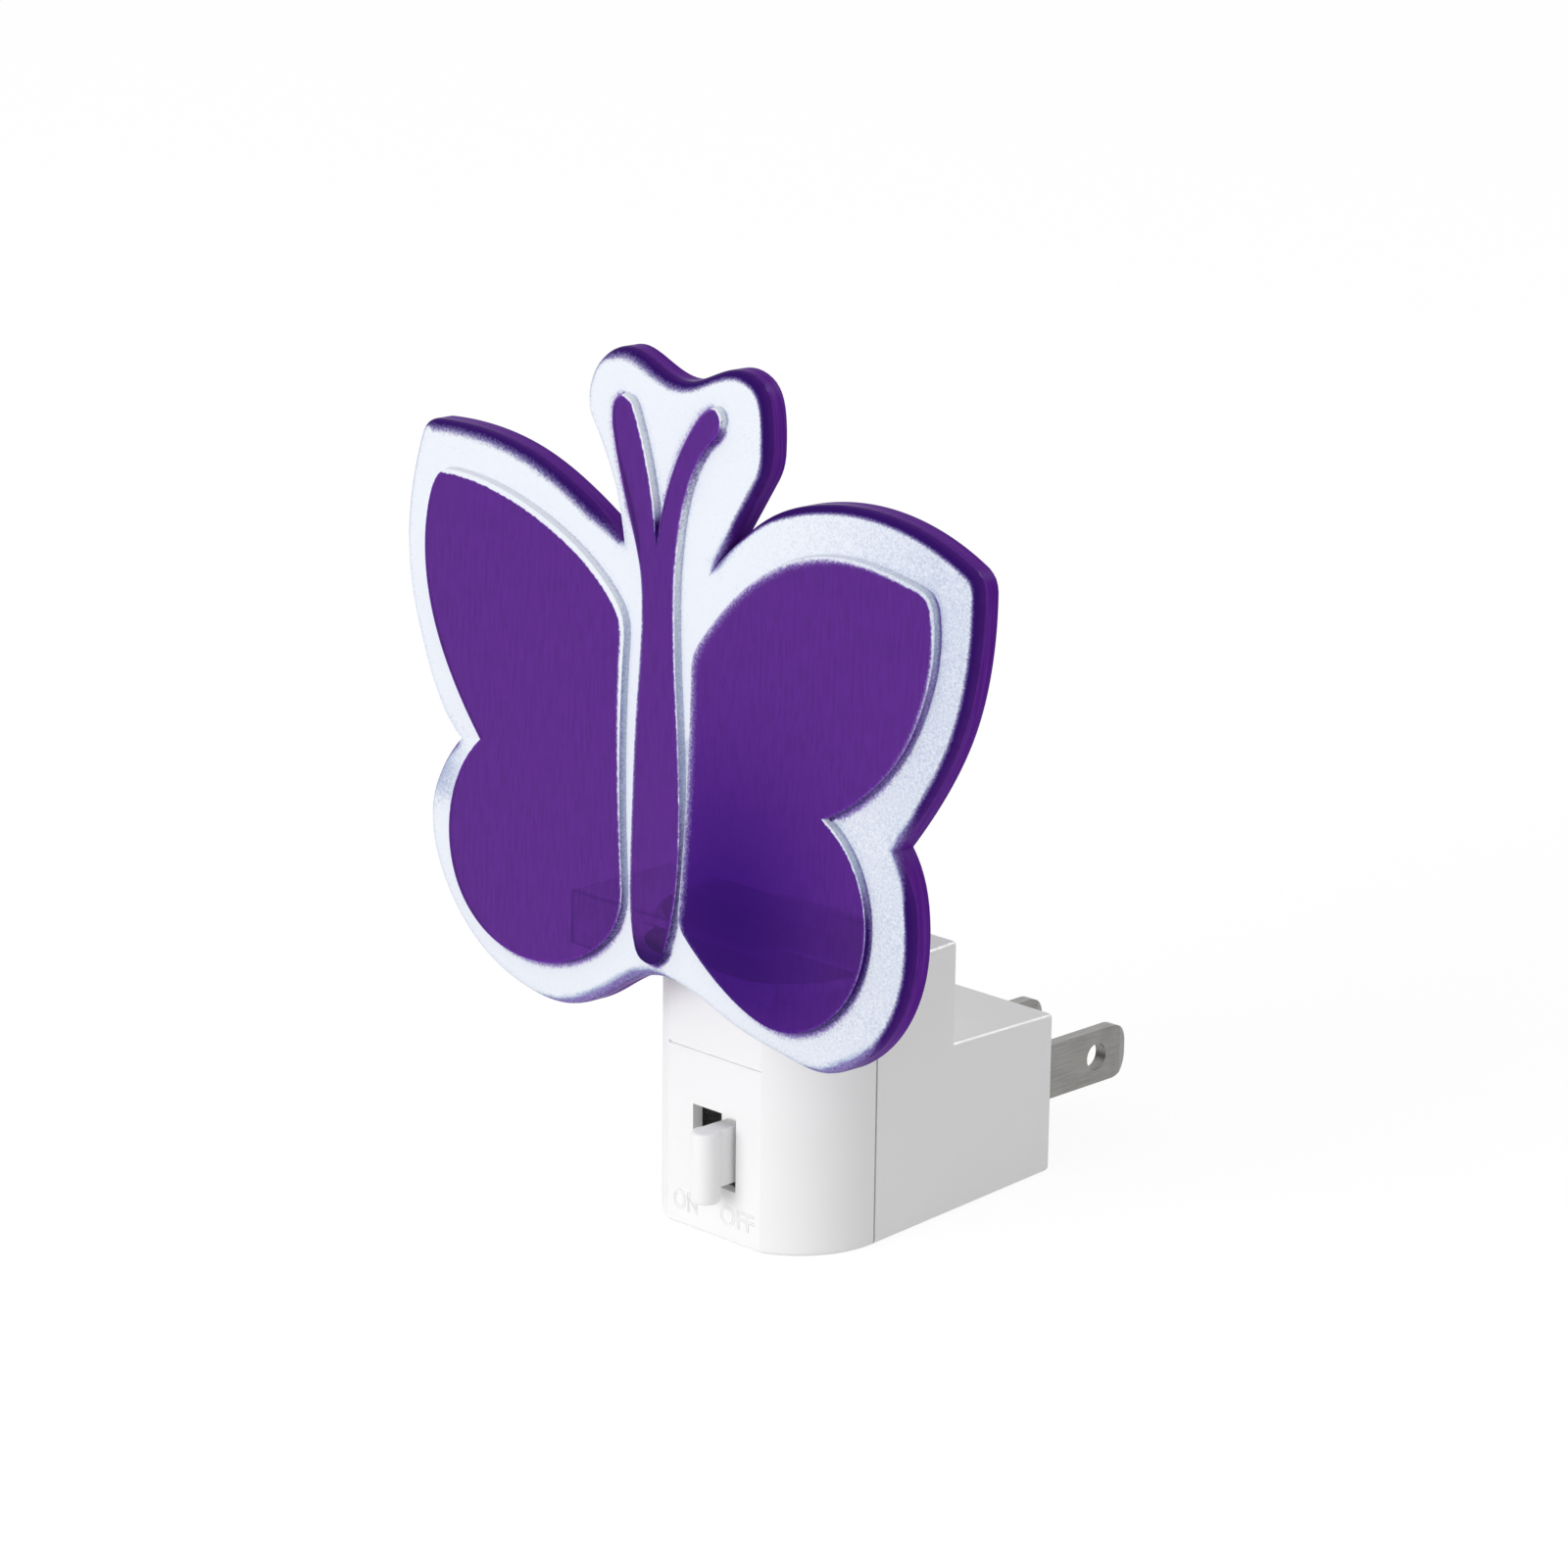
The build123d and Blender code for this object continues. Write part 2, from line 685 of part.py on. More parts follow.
def panel_foot():
    """The acrylic bar on the panel's back, which rests on the housing with its tenon in the slot."""
    near_y = front_y - panel_gap
    far_y = front_y + foot_seat_depth
    points = (
        (near_y, top_z),
        (far_y, top_z),
        (far_y, top_z + foot_height),
        (near_y + math.tan(math.radians(panel_lean)) * foot_height, top_z + foot_height),
    )
    profile = make_face(Polyline(*points, close=True))
    bar = extrude(Plane.YZ * profile, amount=foot_width / 2, both=True)
    bar = fillet(bar.faces().sort_by(Axis.Y)[-1].edges(), foot_edge_radius)
    tenon_front = front_y + tenon_front_depth
    tenon_rear = front_y + tenon_rear_depth
    tenon = block(tenon_width, tenon_front, tenon_rear, top_z - tenon_length, top_z + foot_height / 2)
    return bar + tenon


def all_pieces():
    """Every piece of the night light, by name."""
    left, right = blade_places()
    post_z = floor_z + post_height
    board_screws = [screw(x, post_z, board_rear_y, board_screw_length, -1) for x in board_posts()]
    diodes = [diode(floor_z + height) for height in diode_row_heights]
    return {
        "front_cover": front_cover(),
        "rear_cover": rear_cover(),
        "butterfly_panel": butterfly_panel(),
        "panel_foot": panel_foot(),
        "left_blade": blade(left),
        "right_blade": blade(right),
        "blade_retainer": blade_retainer(),
        "retainer_screw": screw(0, 0, retainer_y, retainer_screw_length, 1),
        "circuit_board": circuit_board(),
        "board_screws": Compound(board_screws),
        "switch_knob": switch_knob(),
        "switch_slider": switch_slider(),
        "contact_bridge": contact_bridge(),
        "switch_frame": switch_frame(),
        "switch_base": switch_base(),
        "switch_terminals": switch_terminals(),
        "led_lamp": led_lamp(),
        "led_leads": led_leads(),
        "led_holder": led_holder(),
        "film_capacitor": film_capacitor(),
        "smoothing_capacitor": smoothing_capacitor(),
        "rectifier_diodes": Compound(diodes),
        "bleed_resistor": resistor(floor_z + bleed_resistor_height),
        "series_resistor": resistor(floor_z + series_resistor_height),
        "line_wire": blade_wire(-1),
        "neutral_wire": blade_wire(1),
    }


os.makedirs("parts", exist_ok=True)
for name, shape in all_pieces().items():
    export_step(shape, f"parts/{name}.step")
    print(name, round(shape.volume, 2))
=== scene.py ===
"""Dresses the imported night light: a routed acrylic butterfly, a white housing and plated plug blades."""

from __future__ import annotations

import json
import logging
import math
from abc import ABC, abstractmethod
from dataclasses import dataclass
from enum import Enum
from typing import ClassVar

import bmesh
import bpy
import numpy as np
from mathutils import Matrix, Vector
from mathutils.geometry import delaunay_2d_cdt

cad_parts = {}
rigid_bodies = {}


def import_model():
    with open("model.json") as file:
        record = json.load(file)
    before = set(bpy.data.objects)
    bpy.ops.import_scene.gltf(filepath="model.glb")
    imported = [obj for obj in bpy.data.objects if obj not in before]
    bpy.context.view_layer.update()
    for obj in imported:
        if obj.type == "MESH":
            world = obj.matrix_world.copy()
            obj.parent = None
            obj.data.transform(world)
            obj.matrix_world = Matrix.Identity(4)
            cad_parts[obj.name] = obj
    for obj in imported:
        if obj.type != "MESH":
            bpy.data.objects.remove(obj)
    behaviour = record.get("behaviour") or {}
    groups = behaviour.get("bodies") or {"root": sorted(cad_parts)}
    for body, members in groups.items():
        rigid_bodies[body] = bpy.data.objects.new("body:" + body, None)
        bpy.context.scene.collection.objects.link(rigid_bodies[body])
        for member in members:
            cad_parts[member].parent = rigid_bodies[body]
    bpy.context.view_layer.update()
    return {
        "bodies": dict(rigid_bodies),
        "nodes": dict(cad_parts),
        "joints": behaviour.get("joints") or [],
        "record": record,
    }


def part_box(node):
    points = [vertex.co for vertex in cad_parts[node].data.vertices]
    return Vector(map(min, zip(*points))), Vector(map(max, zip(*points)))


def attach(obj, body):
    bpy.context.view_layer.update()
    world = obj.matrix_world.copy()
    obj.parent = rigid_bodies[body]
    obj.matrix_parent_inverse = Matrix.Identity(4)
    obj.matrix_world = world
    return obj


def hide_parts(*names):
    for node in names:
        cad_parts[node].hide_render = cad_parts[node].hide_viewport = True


LOG = logging.getLogger("night_light")
MM = 0.001

Colour = tuple[float, float, float]
Loop = np.ndarray
Socket = bpy.types.NodeSocket


class Body(Enum):
    """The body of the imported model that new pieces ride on."""

    HOUSING = "housing"


class Slot(Enum):
    """The record's material slots, of which the housing's lends its finish to the new words."""

    ACRYLIC = "purple_acrylic"
    HOUSING = "white_housing"


class Paint(Enum):
    """Vertex attributes of the panel: where its white paint lies, how its acrylic looks, and where shade is
    painted on it.
    """

    FIELD_GAP = "field_gap"
    SOFTNESS = "softness"
    EDGE_GAP = "edge_gap"
    COVERAGE_AND_SHADE = "coverage"
    SHADE_AND_SAWN_EDGE = "deepness"
    INDIGO_SHADE = "indigo"
    CLEARNESS = "clearness"


class NodeGraph:
    """Adds nodes and links to one node tree."""

    def __init__(self, tree: bpy.types.NodeTree) -> None:
        """Starts a graph in a tree."""
        self.tree = tree

    def node(self, kind: str, **values: object) -> bpy.types.Node:
        """Adds a node.

        Args:
            kind: the node's type name.
            values: its settings, with names in small letters, and what feeds its inputs, with names that
                start with a capital and have underscores for spaces.

        Returns:
            The new node.
        """
        made = self.tree.nodes.new(kind)
        for name, value in values.items():
            if name[0].islower():
                setattr(made, name, value)
            else:
                self.feed(made.inputs[name.replace("_", " ")], value)
        return made

    def feed(self, target: Socket, source: object) -> None:
        """Links a socket to an input, or sets the input to a plain value.

        Args:
            target: the input.
            source: another node's output, or a value such as a number or a colour.
        """
        if isinstance(source, bpy.types.NodeSocket):
            self.tree.links.new(source, target)
        elif isinstance(source, tuple) and target.type == "RGBA":
            target.default_value = (*source, 1.0)
        else:
            target.default_value = source

    def math(self, operation: str, first: Socket | float, second: Socket | float) -> Socket:
        """Works out a sum of two values.

        Args:
            operation: the sum's name.
            first: its first value.
            second: its second value.

        Returns:
            The result.
        """
        made = self.node("ShaderNodeMath", operation=operation)
        self.feed(made.inputs[0], first)
        self.feed(made.inputs[1], second)
        return made.outputs[0]


class ShaderGraph(NodeGraph):
    """The nodes of one material or world."""

    def __init__(self, owner: bpy.types.Material | bpy.types.World) -> None:
        """Empties the tree of a material or world and starts a graph in it.

        Args:
            owner: the material or world whose tree is filled.
        """
        owner.use_nodes = True
        owner.node_tree.nodes.clear()
        super().__init__(owner.node_tree)

    def place(self, stretch: Colour = (1.0, 1.0, 1.0)) -> Socket:
        """Gives the surface point in the shared frame, in millimetres.

        Args:
            stretch: how much finer a pattern on it is along each axis.

        Returns:
            The scaled point.
        """
        scale = tuple(share / MM for share in stretch)
        point = self.node("ShaderNodeTexCoord").outputs["Object"]
        return self.node("ShaderNodeMapping", Scale=scale, Vector=point).outputs["Vector"]

    def noise(self, place: Socket, scale: float, detail: float = 2.0) -> Socket:
        """Adds a noise pattern.

        Args:
            place: the point it is read at.
            scale: how many of its grains fit in a millimetre.
            detail: how many finer layers it has.

        Returns:
            Its value, about 0.5 on average.
        """
        made = self.node("ShaderNodeTexNoise", Vector=place, Scale=scale, Detail=detail)
        return made.outputs["Fac"]

    def wave(self, place: Socket, scale: float, detail: float, size: float) -> Socket:
        """Adds a noise pattern that swings about zero.

        Args:
            place: the point it is read at.
            scale: how many of its grains fit in a millimetre.
            detail: how many finer layers it has.
            size: how strongly it swings.

        Returns:
            Its value.
        """
        centred = self.math("SUBTRACT", self.noise(place, scale, detail), 0.5)
        return self.math("MULTIPLY", centred, size)

    def span(self, value: Socket, low: float, high: float, start: float = 0.0, end: float = 1.0) -> Socket:
        """Turns a span of values smoothly into another, and stays at its ends outside it.

        Args:
            value: what is turned.
            low: where the span starts.
            high: where the span ends.
            start: the result at its start.
            end: the result at its end.

        Returns:
            The result.
        """
        ends = {"From_Min": low, "From_Max": high, "To_Min": start, "To_Max": end}
        made = self.node("ShaderNodeMapRange", interpolation_type="SMOOTHSTEP", Value=value, **ends)
        return made.outputs["Result"]

    def blend(self, share: Socket, first: Socket | Colour, second: Socket | Colour) -> Socket:
        """Blends two colours.

        Args:
            share: how much of the second there is.
            first: the colour at a share of 0.
            second: the colour at a share of 1.

        Returns:
            The blended colour.
        """
        made = self.node("ShaderNodeMix", data_type="RGBA")
        for number, source in ((0, share), (6, first), (7, second)):
            self.feed(made.inputs[number], source)
        return made.outputs[2]

    def attribute(self, name: Paint) -> Socket:
        """Reads a vertex attribute's value."""
        return self.node("ShaderNodeAttribute", attribute_name=name.value).outputs["Fac"]

    def surface(self, **inputs: Socket | float | Colour) -> bpy.types.Node:
        """Ends the graph in one principled surface.

        Args:
            inputs: its inputs, by their names with underscores for spaces.

        Returns:
            The surface's node.
        """
        made = self.node("ShaderNodeBsdfPrincipled", **inputs)
        self.node("ShaderNodeOutputMaterial", Surface=made.outputs[0])
        return made

    def relief(self, surface: bpy.types.Node, height: Socket, distance: float) -> None:
        """Gives a surface a fine relief.

        Args:
            surface: the principled surface.
            height: the relief's height, from 0 to 1.
            distance: how far that is, in millimetres.
        """
        bump = self.node("ShaderNodeBump", Distance=distance * MM, Height=height)
        self.feed(surface.inputs["Normal"], bump.outputs["Normal"])


def darker(colour: Colour, share: float) -> Colour:
    """Gives a colour with a share of its light."""
    return tuple(channel * share for channel in colour)


class Finish(ABC):
    """A finish, which makes one procedural material."""

    def material(self, name: str) -> bpy.types.Material:
        """Makes the material.

        Args:
            name: its name.

        Returns:
            The material.
        """
        made = bpy.data.materials.new(name)
        self.fill(ShaderGraph(made))
        return made

    @abstractmethod
    def fill(self, graph: ShaderGraph) -> None:
        """Fills the material's graph."""


@dataclass(frozen=True)
class MouldedPlastic(Finish):
    """Moulded plastic: a satin skin with faint mottling and a fine mould texture."""

    colour: Colour
    roughness: float = 0.4
    unevenness: float = 0.05
    mottle: float = 0.02
    mottle_grain: float = 0.09
    texture: float = 0.004
    grain: float = 2.2

    def fill(self, graph: ShaderGraph) -> None:
        """Fills the material's graph.

        Args:
            graph: the graph.
        """
        place = graph.place()
        cloud = graph.noise(place, self.mottle_grain, 3.0)
        grain = graph.noise(place, self.grain, 3.0)
        skin = graph.blend(cloud, darker(self.colour, 1 - 2 * self.mottle), self.colour)
        smooth = self.roughness - self.unevenness
        sheen = graph.span(grain, 0.3, 0.7, smooth, self.roughness + self.unevenness)
        surface = graph.surface(Base_Color=skin, Roughness=sheen)
        graph.relief(surface, grain, self.texture)


@dataclass(frozen=True)
class BrushedMetal(Finish):
    """Metal with fine brush lines along one axis and a little tarnish."""

    colour: Colour
    roughness: float = 0.3
    brush: Colour = (9.0, 0.25, 9.0)
    line_depth: float = 0.004
    line_shade: float = 0.5
    tarnish: float = 0.35
    tarnish_grain: float = 0.35
    dullness: float = 0.72

    def fill(self, graph: ShaderGraph) -> None:
        """Fills the material's graph.

        Args:
            graph: the graph.
        """
        lines = graph.noise(graph.place(self.brush), 1.0)
        cloud = graph.noise(graph.place(), self.tarnish_grain, 4.0)
        spots = graph.span(cloud, 0.35, 0.7, 0.0, self.tarnish)
        marks = graph.math("ADD", spots, graph.span(lines, 0.35, 0.65, 0.0, self.line_shade))
        skin = graph.blend(marks, self.colour, darker(self.colour, self.dullness))
        sheen = graph.span(lines, 0.3, 0.7, self.roughness - 0.08, self.roughness + 0.1)
        surface = graph.surface(Base_Color=skin, Roughness=sheen, Metallic=1.0)
        graph.relief(surface, lines, self.line_depth)


@dataclass(frozen=True)
class TintedAcrylic(Finish):
    """See-through acrylic, with faint upright streaks in its polish."""

    tint: Colour
    clearness: float = 1.0
    roughness: float = 0.04
    bending: float = 1.2
    specular: float = 0.25
    streaks: Colour = (2.6, 2.6, 0.12)
    streak_shade: float = 0.85

    def colour(self, graph: ShaderGraph, streaks: Socket) -> Socket:
        """Gives the acrylic its colour, darker in its streaks."""
        return graph.blend(streaks, darker(self.tint, self.streak_shade), self.tint)

    def fill(self, graph: ShaderGraph) -> None:
        """Fills the material's graph.

        Args:
            graph: the graph.
        """
        streaks = graph.noise(graph.place(self.streaks), 1.0, 3.0)
        graph.surface(
            Base_Color=self.colour(graph, streaks),
            Roughness=graph.span(streaks, 0.3, 0.7, self.roughness, 2 * self.roughness),
            Transmission_Weight=self.clearness,
            IOR=self.bending,
            Specular_IOR_Level=self.specular,
        )


@dataclass(frozen=True, kw_only=True)
class EdgeShadedAcrylic(TintedAcrylic):
    """Clear acrylic whose glued front face has dark lines of painted shade along its edges. Lengths are in
    millimetres.
    """

    edge_shade: Colour
    low: Colour
    high: Colour
    line_width: float = 0.26
    line_depths: tuple[float, float] = (0.4, 0.8)
    clearness: float = 0.95
    roughness: float = 0.03
    specular: float = 0.2
    streak_shade: float = 0.9

    def colour(self, graph: ShaderGraph, streaks: Socket) -> Socket:
        """Gives the acrylic its colour, with the painted shade lines on it."""
        return graph.blend(self.edge_shade_lines(graph), super().colour(graph, streaks), self.edge_shade)

    def edge_shade_lines(self, graph: ShaderGraph) -> Socket:
        """Works out where the painted shade lines run, along the edges of the front face.

        Args:
            graph: the material's graph.

        Returns:
            1 on an edge of the front face, else 0.
        """
        place = graph.node("ShaderNodeSeparateXYZ", Vector=graph.place()).outputs
        gaps = []
        for axis in (0, 2):
            gaps.append(graph.math("SUBTRACT", place[axis], self.low[axis]))
            gaps.append(graph.math("SUBTRACT", self.high[axis], place[axis]))
        nearest = gaps[0]
        for gap in gaps[1:]:
            nearest = graph.math("MINIMUM", nearest, gap)
        edge = graph.span(nearest, self.line_width / 2, self.line_width, 1.0, 0.0)
        depth = graph.math("SUBTRACT", place[1], self.low[1])
        return graph.math("MULTIPLY", edge, graph.span(depth, *self.line_depths, 1.0, 0.0))


@dataclass(frozen=True)
class PaintedAcrylic(Finish):
    """Cloudy acrylic whose sunk floor is sprayed white, with soft or ragged borders and a bare rim, and with
    shade painted on it in deep and indigo tones.
    """

    tint: Colour
    deep: Colour
    indigo: Colour
    bright: Colour
    paint: Colour
    thin_paint_and_shade: Colour
    haze: Colour
    clearness: float = 0.62
    roughness: float = 0.02
    sawn_roughness: float = 0.4
    paint_roughness: float = 0.6
    bending: float = 1.2
    specular: float = 0.06
    raggedness: float = 0.28
    rag_grain: float = 2.2
    speckle: float = 0.6
    thin_speckle: float = 0.4
    paint_grain: float = 4.0
    dustiness: float = 0.7
    dust_depth: float = 0.02
    streaks: Colour = (2.4, 0.1, 0.4)
    streak_shade: float = 0.84
    saw_marks: Colour = (0.12, 3.5, 0.12)

    def coverage(self, graph: ShaderGraph, thickness: Socket) -> Socket:
        """Works out where the paint lies.

        Args:
            graph: the material's graph.
            thickness: how thickly it was sprayed, lower also where shade is painted on steps that face right.

        Returns:
            A share of paint, from 0 to 1.
        """
        speckle = graph.wave(graph.place(), self.paint_grain, 2.0, self.speckle)
        ragged = graph.wave(graph.place(), self.rag_grain, 1.0, self.raggedness)
        gap = graph.math("ADD", graph.attribute(Paint.FIELD_GAP), ragged)
        softened = graph.math("DIVIDE", gap, graph.attribute(Paint.SOFTNESS))
        on_floor = graph.span(graph.math("ADD", softened, speckle), -0.5, 0.5)
        edge = graph.math("ADD", graph.attribute(Paint.EDGE_GAP), speckle)
        inside = graph.span(edge, -0.5, 0.5)
        sprinkled = graph.math("ADD", thickness, graph.math("MULTIPLY", speckle, self.thin_speckle))
        solid = graph.span(sprinkled, 0.1, 0.5)
        return graph.math("MULTIPLY", graph.math("MULTIPLY", on_floor, inside), solid)

    def clear_colour(self, graph: ShaderGraph, deepness: Socket) -> Socket:
        """Works out the acrylic's colour: faintly streaked, bright on the sawn edge, with deep painted shade
        beside it, on steps, at the tail and in the fork, and indigo painted shade low in the right wing and
        at the tail.

        Args:
            graph: the material's graph.
            deepness: from -1, bright on the sawn edge, to 1, the deep painted shade.

        Returns:
            The colour.
        """
        streaks = graph.span(graph.noise(graph.place(self.streaks), 1.0, 4.0), 0.36, 0.6)
        own = graph.blend(streaks, darker(self.tint, self.streak_shade), self.tint)
        # indigo painted shade, low in the right wing and at the body's tail
        clear = graph.blend(graph.attribute(Paint.INDIGO_SHADE), own, self.indigo)
        marks = graph.span(graph.noise(graph.place(self.saw_marks), 1.0, 3.0), 0.35, 0.65)
        sawn = graph.blend(marks, self.tint, self.bright)
        lit = graph.blend(graph.span(deepness, -1.0, 0.0, 1.0, 0.0), clear, sawn)
        # deep painted shade over the rim's bare rounding, the steps, the tail and the fork
        return graph.blend(graph.span(deepness, 0.0, 1.0), lit, self.deep)

    def fill(self, graph: ShaderGraph) -> None:
        """Fills the material's graph.

        Args:
            graph: the graph.
        """
        thickness = graph.attribute(Paint.COVERAGE_AND_SHADE)
        deepness = graph.attribute(Paint.SHADE_AND_SAWN_EDGE)
        share = self.coverage(graph, thickness)
        dust = graph.noise(graph.place(), self.paint_grain, 3.0)
        centred = graph.math("SUBTRACT", dust, 0.5)
        level = graph.math("ADD", thickness, graph.math("MULTIPLY", centred, self.dustiness))
        # the thin paint's grey-blue also serves as painted shade on steps that face right
        white = graph.blend(graph.span(level, 0.3, 1.0), self.thin_paint_and_shade, self.paint)
        sprayed = graph.blend(graph.span(share, 0.3, 1.0), self.haze, white)
        sawn = graph.span(deepness, -1.0, 0.0, self.sawn_roughness, self.roughness)
        rough = graph.math("MAXIMUM", graph.math("MULTIPLY", share, self.paint_roughness), sawn)
        bare = graph.math("MULTIPLY", graph.math("SUBTRACT", 1.0, share), graph.attribute(Paint.CLEARNESS))
        surface = graph.surface(
            Base_Color=graph.blend(share, self.clear_colour(graph, deepness), sprayed),
            Roughness=rough,
            Transmission_Weight=graph.math("MULTIPLY", bare, self.clearness),
            IOR=self.bending,
            Specular_IOR_Level=self.specular,
        )
        graph.relief(surface, graph.math("MULTIPLY", dust, share), self.dust_depth)


def split_loops(edges: list[bmesh.types.BMEdge]) -> list[list[bmesh.types.BMVert]]:
    """Orders border edges into closed loops.

    Args:
        edges: the edges, two at each vertex.

    Returns:
        The vertices of each loop, in order.
    """
    beside: dict[bmesh.types.BMVert, list[bmesh.types.BMVert]] = {}
    for edge in edges:
        first, second = edge.verts
        beside.setdefault(first, []).append(second)
        beside.setdefault(second, []).append(first)
    loops = []
    left = set(beside)
    while left:
        start = min(left, key=lambda vertex: vertex.index)
        loop = [start]
        left.discard(start)
        step = beside[start][0]
        while step is not start:
            loop.append(step)
            left.discard(step)
            ahead = [other for other in beside[step] if other is not loop[-2]]
            step = ahead[0]
        loops.append(loop)
    return loops


def turned_left(loop: Loop) -> Loop:
    """Gives a closed loop the direction that keeps its inside on the left.

    Args:
        loop: the loop's points.

    Returns:
        The same points, turned round if need be.
    """
    after = np.roll(loop, -1, axis=0)
    area = (loop[:, 0] * after[:, 1] - after[:, 0] * loop[:, 1]).sum()
    return loop if area > 0 else loop[::-1]


def smooth_run(points: np.ndarray, spacing: float) -> np.ndarray:
    """Spaces points evenly along a smooth run, without its last point.

    Args:
        points: points on the run.
        spacing: about how far apart the new points are.

    Returns:
        The new points.
    """
    lengths = np.linalg.norm(np.diff(points, axis=0), axis=1)
    along = np.concatenate(([0.0], np.cumsum(lengths)))
    count = max(1, round(along[-1] / spacing))
    wanted = np.linspace(0.0, along[-1], count + 1)[:-1]
    if len(points) < 3:
        return np.column_stack([np.interp(wanted, along, points[:, axis]) for axis in (0, 1)])
    slopes = np.gradient(points, along, axis=0, edge_order=2)
    index = np.clip(np.searchsorted(along, wanted, side="right") - 1, 0, len(lengths) - 1)
    length = lengths[index][:, None]
    share = (wanted - along[index])[:, None] / length
    start = (1 + 2 * share) * (1 - share) ** 2 * points[index]
    end = share**2 * (3 - 2 * share) * points[index + 1]
    lead = share * (1 - share) ** 2 * length * slopes[index]
    tail = share**2 * (share - 1) * length * slopes[index + 1]
    return start + end + lead + tail


def turns_of(loop: Loop) -> np.ndarray:
    """Measures how a closed loop turns at each of its points.

    Args:
        loop: the loop's points.

    Returns:
        The turns to the left, in radians.
    """
    before = loop - np.roll(loop, 1, axis=0)
    after = np.roll(loop, -1, axis=0) - loop
    cross = before[:, 0] * after[:, 1] - before[:, 1] * after[:, 0]
    return np.arctan2(cross, (before * after).sum(axis=1))


def even_loop(loop: Loop, spacing: float, corner: float, rounding: int) -> Loop:
    """Spaces a closed loop's points evenly between its corners, and rounds the corners that point out.

    Args:
        loop: the loop's points, with its inside on the left.
        spacing: about how far apart the new points are.
        corner: the turn, in radians, from which a point counts as a corner.
        rounding: how many points on each side of a corner are smoothed.

    Returns:
        The new points.
    """
    corners = np.flatnonzero(np.abs(turns_of(loop)) > corner)
    if len(corners) == 0:
        corners = np.array([0])
    closed = np.vstack((loop, loop))
    ends = np.append(corners[1:], corners[0] + len(loop))
    even = np.vstack([smooth_run(closed[start : end + 1], spacing) for start, end in zip(corners, ends)])
    for sharp in np.flatnonzero(turns_of(even) > corner):
        near = np.arange(sharp - rounding, sharp + rounding + 1) % len(even)
        for _ in range(2 * rounding):
            even[near[1:-1]] = (even[near[:-2]] + 2 * even[near[1:-1]] + even[near[2:]]) / 4
    return even


def moved_loop(loop: Loop, distance: np.ndarray) -> Loop:
    """Moves a closed loop outwards, or inwards for a distance below zero.

    Args:
        loop: the loop's points, with its inside on the left.
        distance: how far each point moves.

    Returns:
        The moved points.
    """
    runs = np.roll(loop, -1, axis=0) - loop
    normals = np.column_stack((runs[:, 1], -runs[:, 0])) / np.linalg.norm(runs, axis=1)[:, None]
    between = normals + np.roll(normals, 1, axis=0)
    between /= np.linalg.norm(between, axis=1)[:, None]
    mitre = np.clip((between * normals).sum(axis=1), 0.5, 1.0)
    return loop + (distance / mitre)[:, None] * between


def nearest_on_loop(points: np.ndarray, loop: Loop) -> tuple[np.ndarray, np.ndarray]:
    """Measures points against a closed loop.

    Args:
        points: the points.
        loop: the loop's points, with its inside on the left.

    Returns:
        Each point's distance, below zero inside the loop, and the loop's outward direction beside it.
    """
    best = np.full(len(points), np.inf)
    facing = np.zeros((len(points), 2))
    inside = np.zeros(len(points), bool)
    for start, end in zip(loop, np.roll(loop, -1, axis=0)):
        run = end - start
        share = np.clip((points - start) @ run / (run @ run), 0.0, 1.0)
        apart = ((points - start - share[:, None] * run) ** 2).sum(axis=1)
        closer = apart < best
        best[closer] = apart[closer]
        facing[closer] = np.array((run[1], -run[0])) / np.linalg.norm(run)
        if start[1] != end[1]:
            crosses = (start[1] > points[:, 1]) != (end[1] > points[:, 1])
            meets = start[0] + (points[:, 1] - start[1]) * run[0] / run[1]
            inside ^= crosses & (points[:, 0] < meets)
    return np.where(inside, -1.0, 1.0) * np.sqrt(best), facing


@dataclass
class PanelPlane:
    """The plane of the panel's raised fields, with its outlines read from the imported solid."""

    node: bpy.types.Object

    def __post_init__(self) -> None:
        """Finds the plane's directions and the panel's thickness, in millimetres."""
        self.solid = bmesh.new()
        self.solid.from_mesh(self.node.data)
        bmesh.ops.remove_doubles(self.solid, verts=self.solid.verts, dist=0.002 * MM)
        self.solid.verts.index_update()
        rear_faces = [face for face in self.solid.faces if face.normal.y > 0.9]
        back = max(rear_faces, key=lambda face: face.calc_area()).normal
        self.out = -back.normalized()
        self.across = Vector((1.0, 0.0, 0.0))
        self.up = self.out.cross(self.across)
        heights = [vertex.co.dot(self.out) for vertex in self.solid.verts]
        self.front = max(heights)
        self.thickness = (self.front - min(heights)) / MM

    def outlines(self, depth: float) -> list[Loop]:
        """Reads the closed outlines of the flat faces at one depth.

        Args:
            depth: how far behind the raised fields the faces lie, in millimetres.

        Returns:
            Each outline's points across and up, in millimetres.
        """
        flat = set()
        for face in self.solid.faces:
            places = [(self.front - vertex.co.dot(self.out)) / MM for vertex in face.verts]
            if max(abs(place - depth) for place in places) < 0.01:
                flat.add(face)
        borders = [edge for edge in self.solid.edges if len(flat.intersection(edge.link_faces)) == 1]
        found = []
        for loop in split_loops(borders):
            points = [(vertex.co.dot(self.across), vertex.co.dot(self.up)) for vertex in loop]
            found.append(turned_left(np.array(points) / MM))
        return found

    def place(self, point: np.ndarray, depth: float) -> Vector:
        """Gives a point of the panel in the shared frame.

        Args:
            point: its place across and up, in millimetres.
            depth: how far it lies behind the raised fields, in millimetres.

        Returns:
            The point in metres.
        """
        flat = self.across * float(point[0]) + self.up * float(point[1])
        return flat * MM + self.out * (self.front - depth * MM)


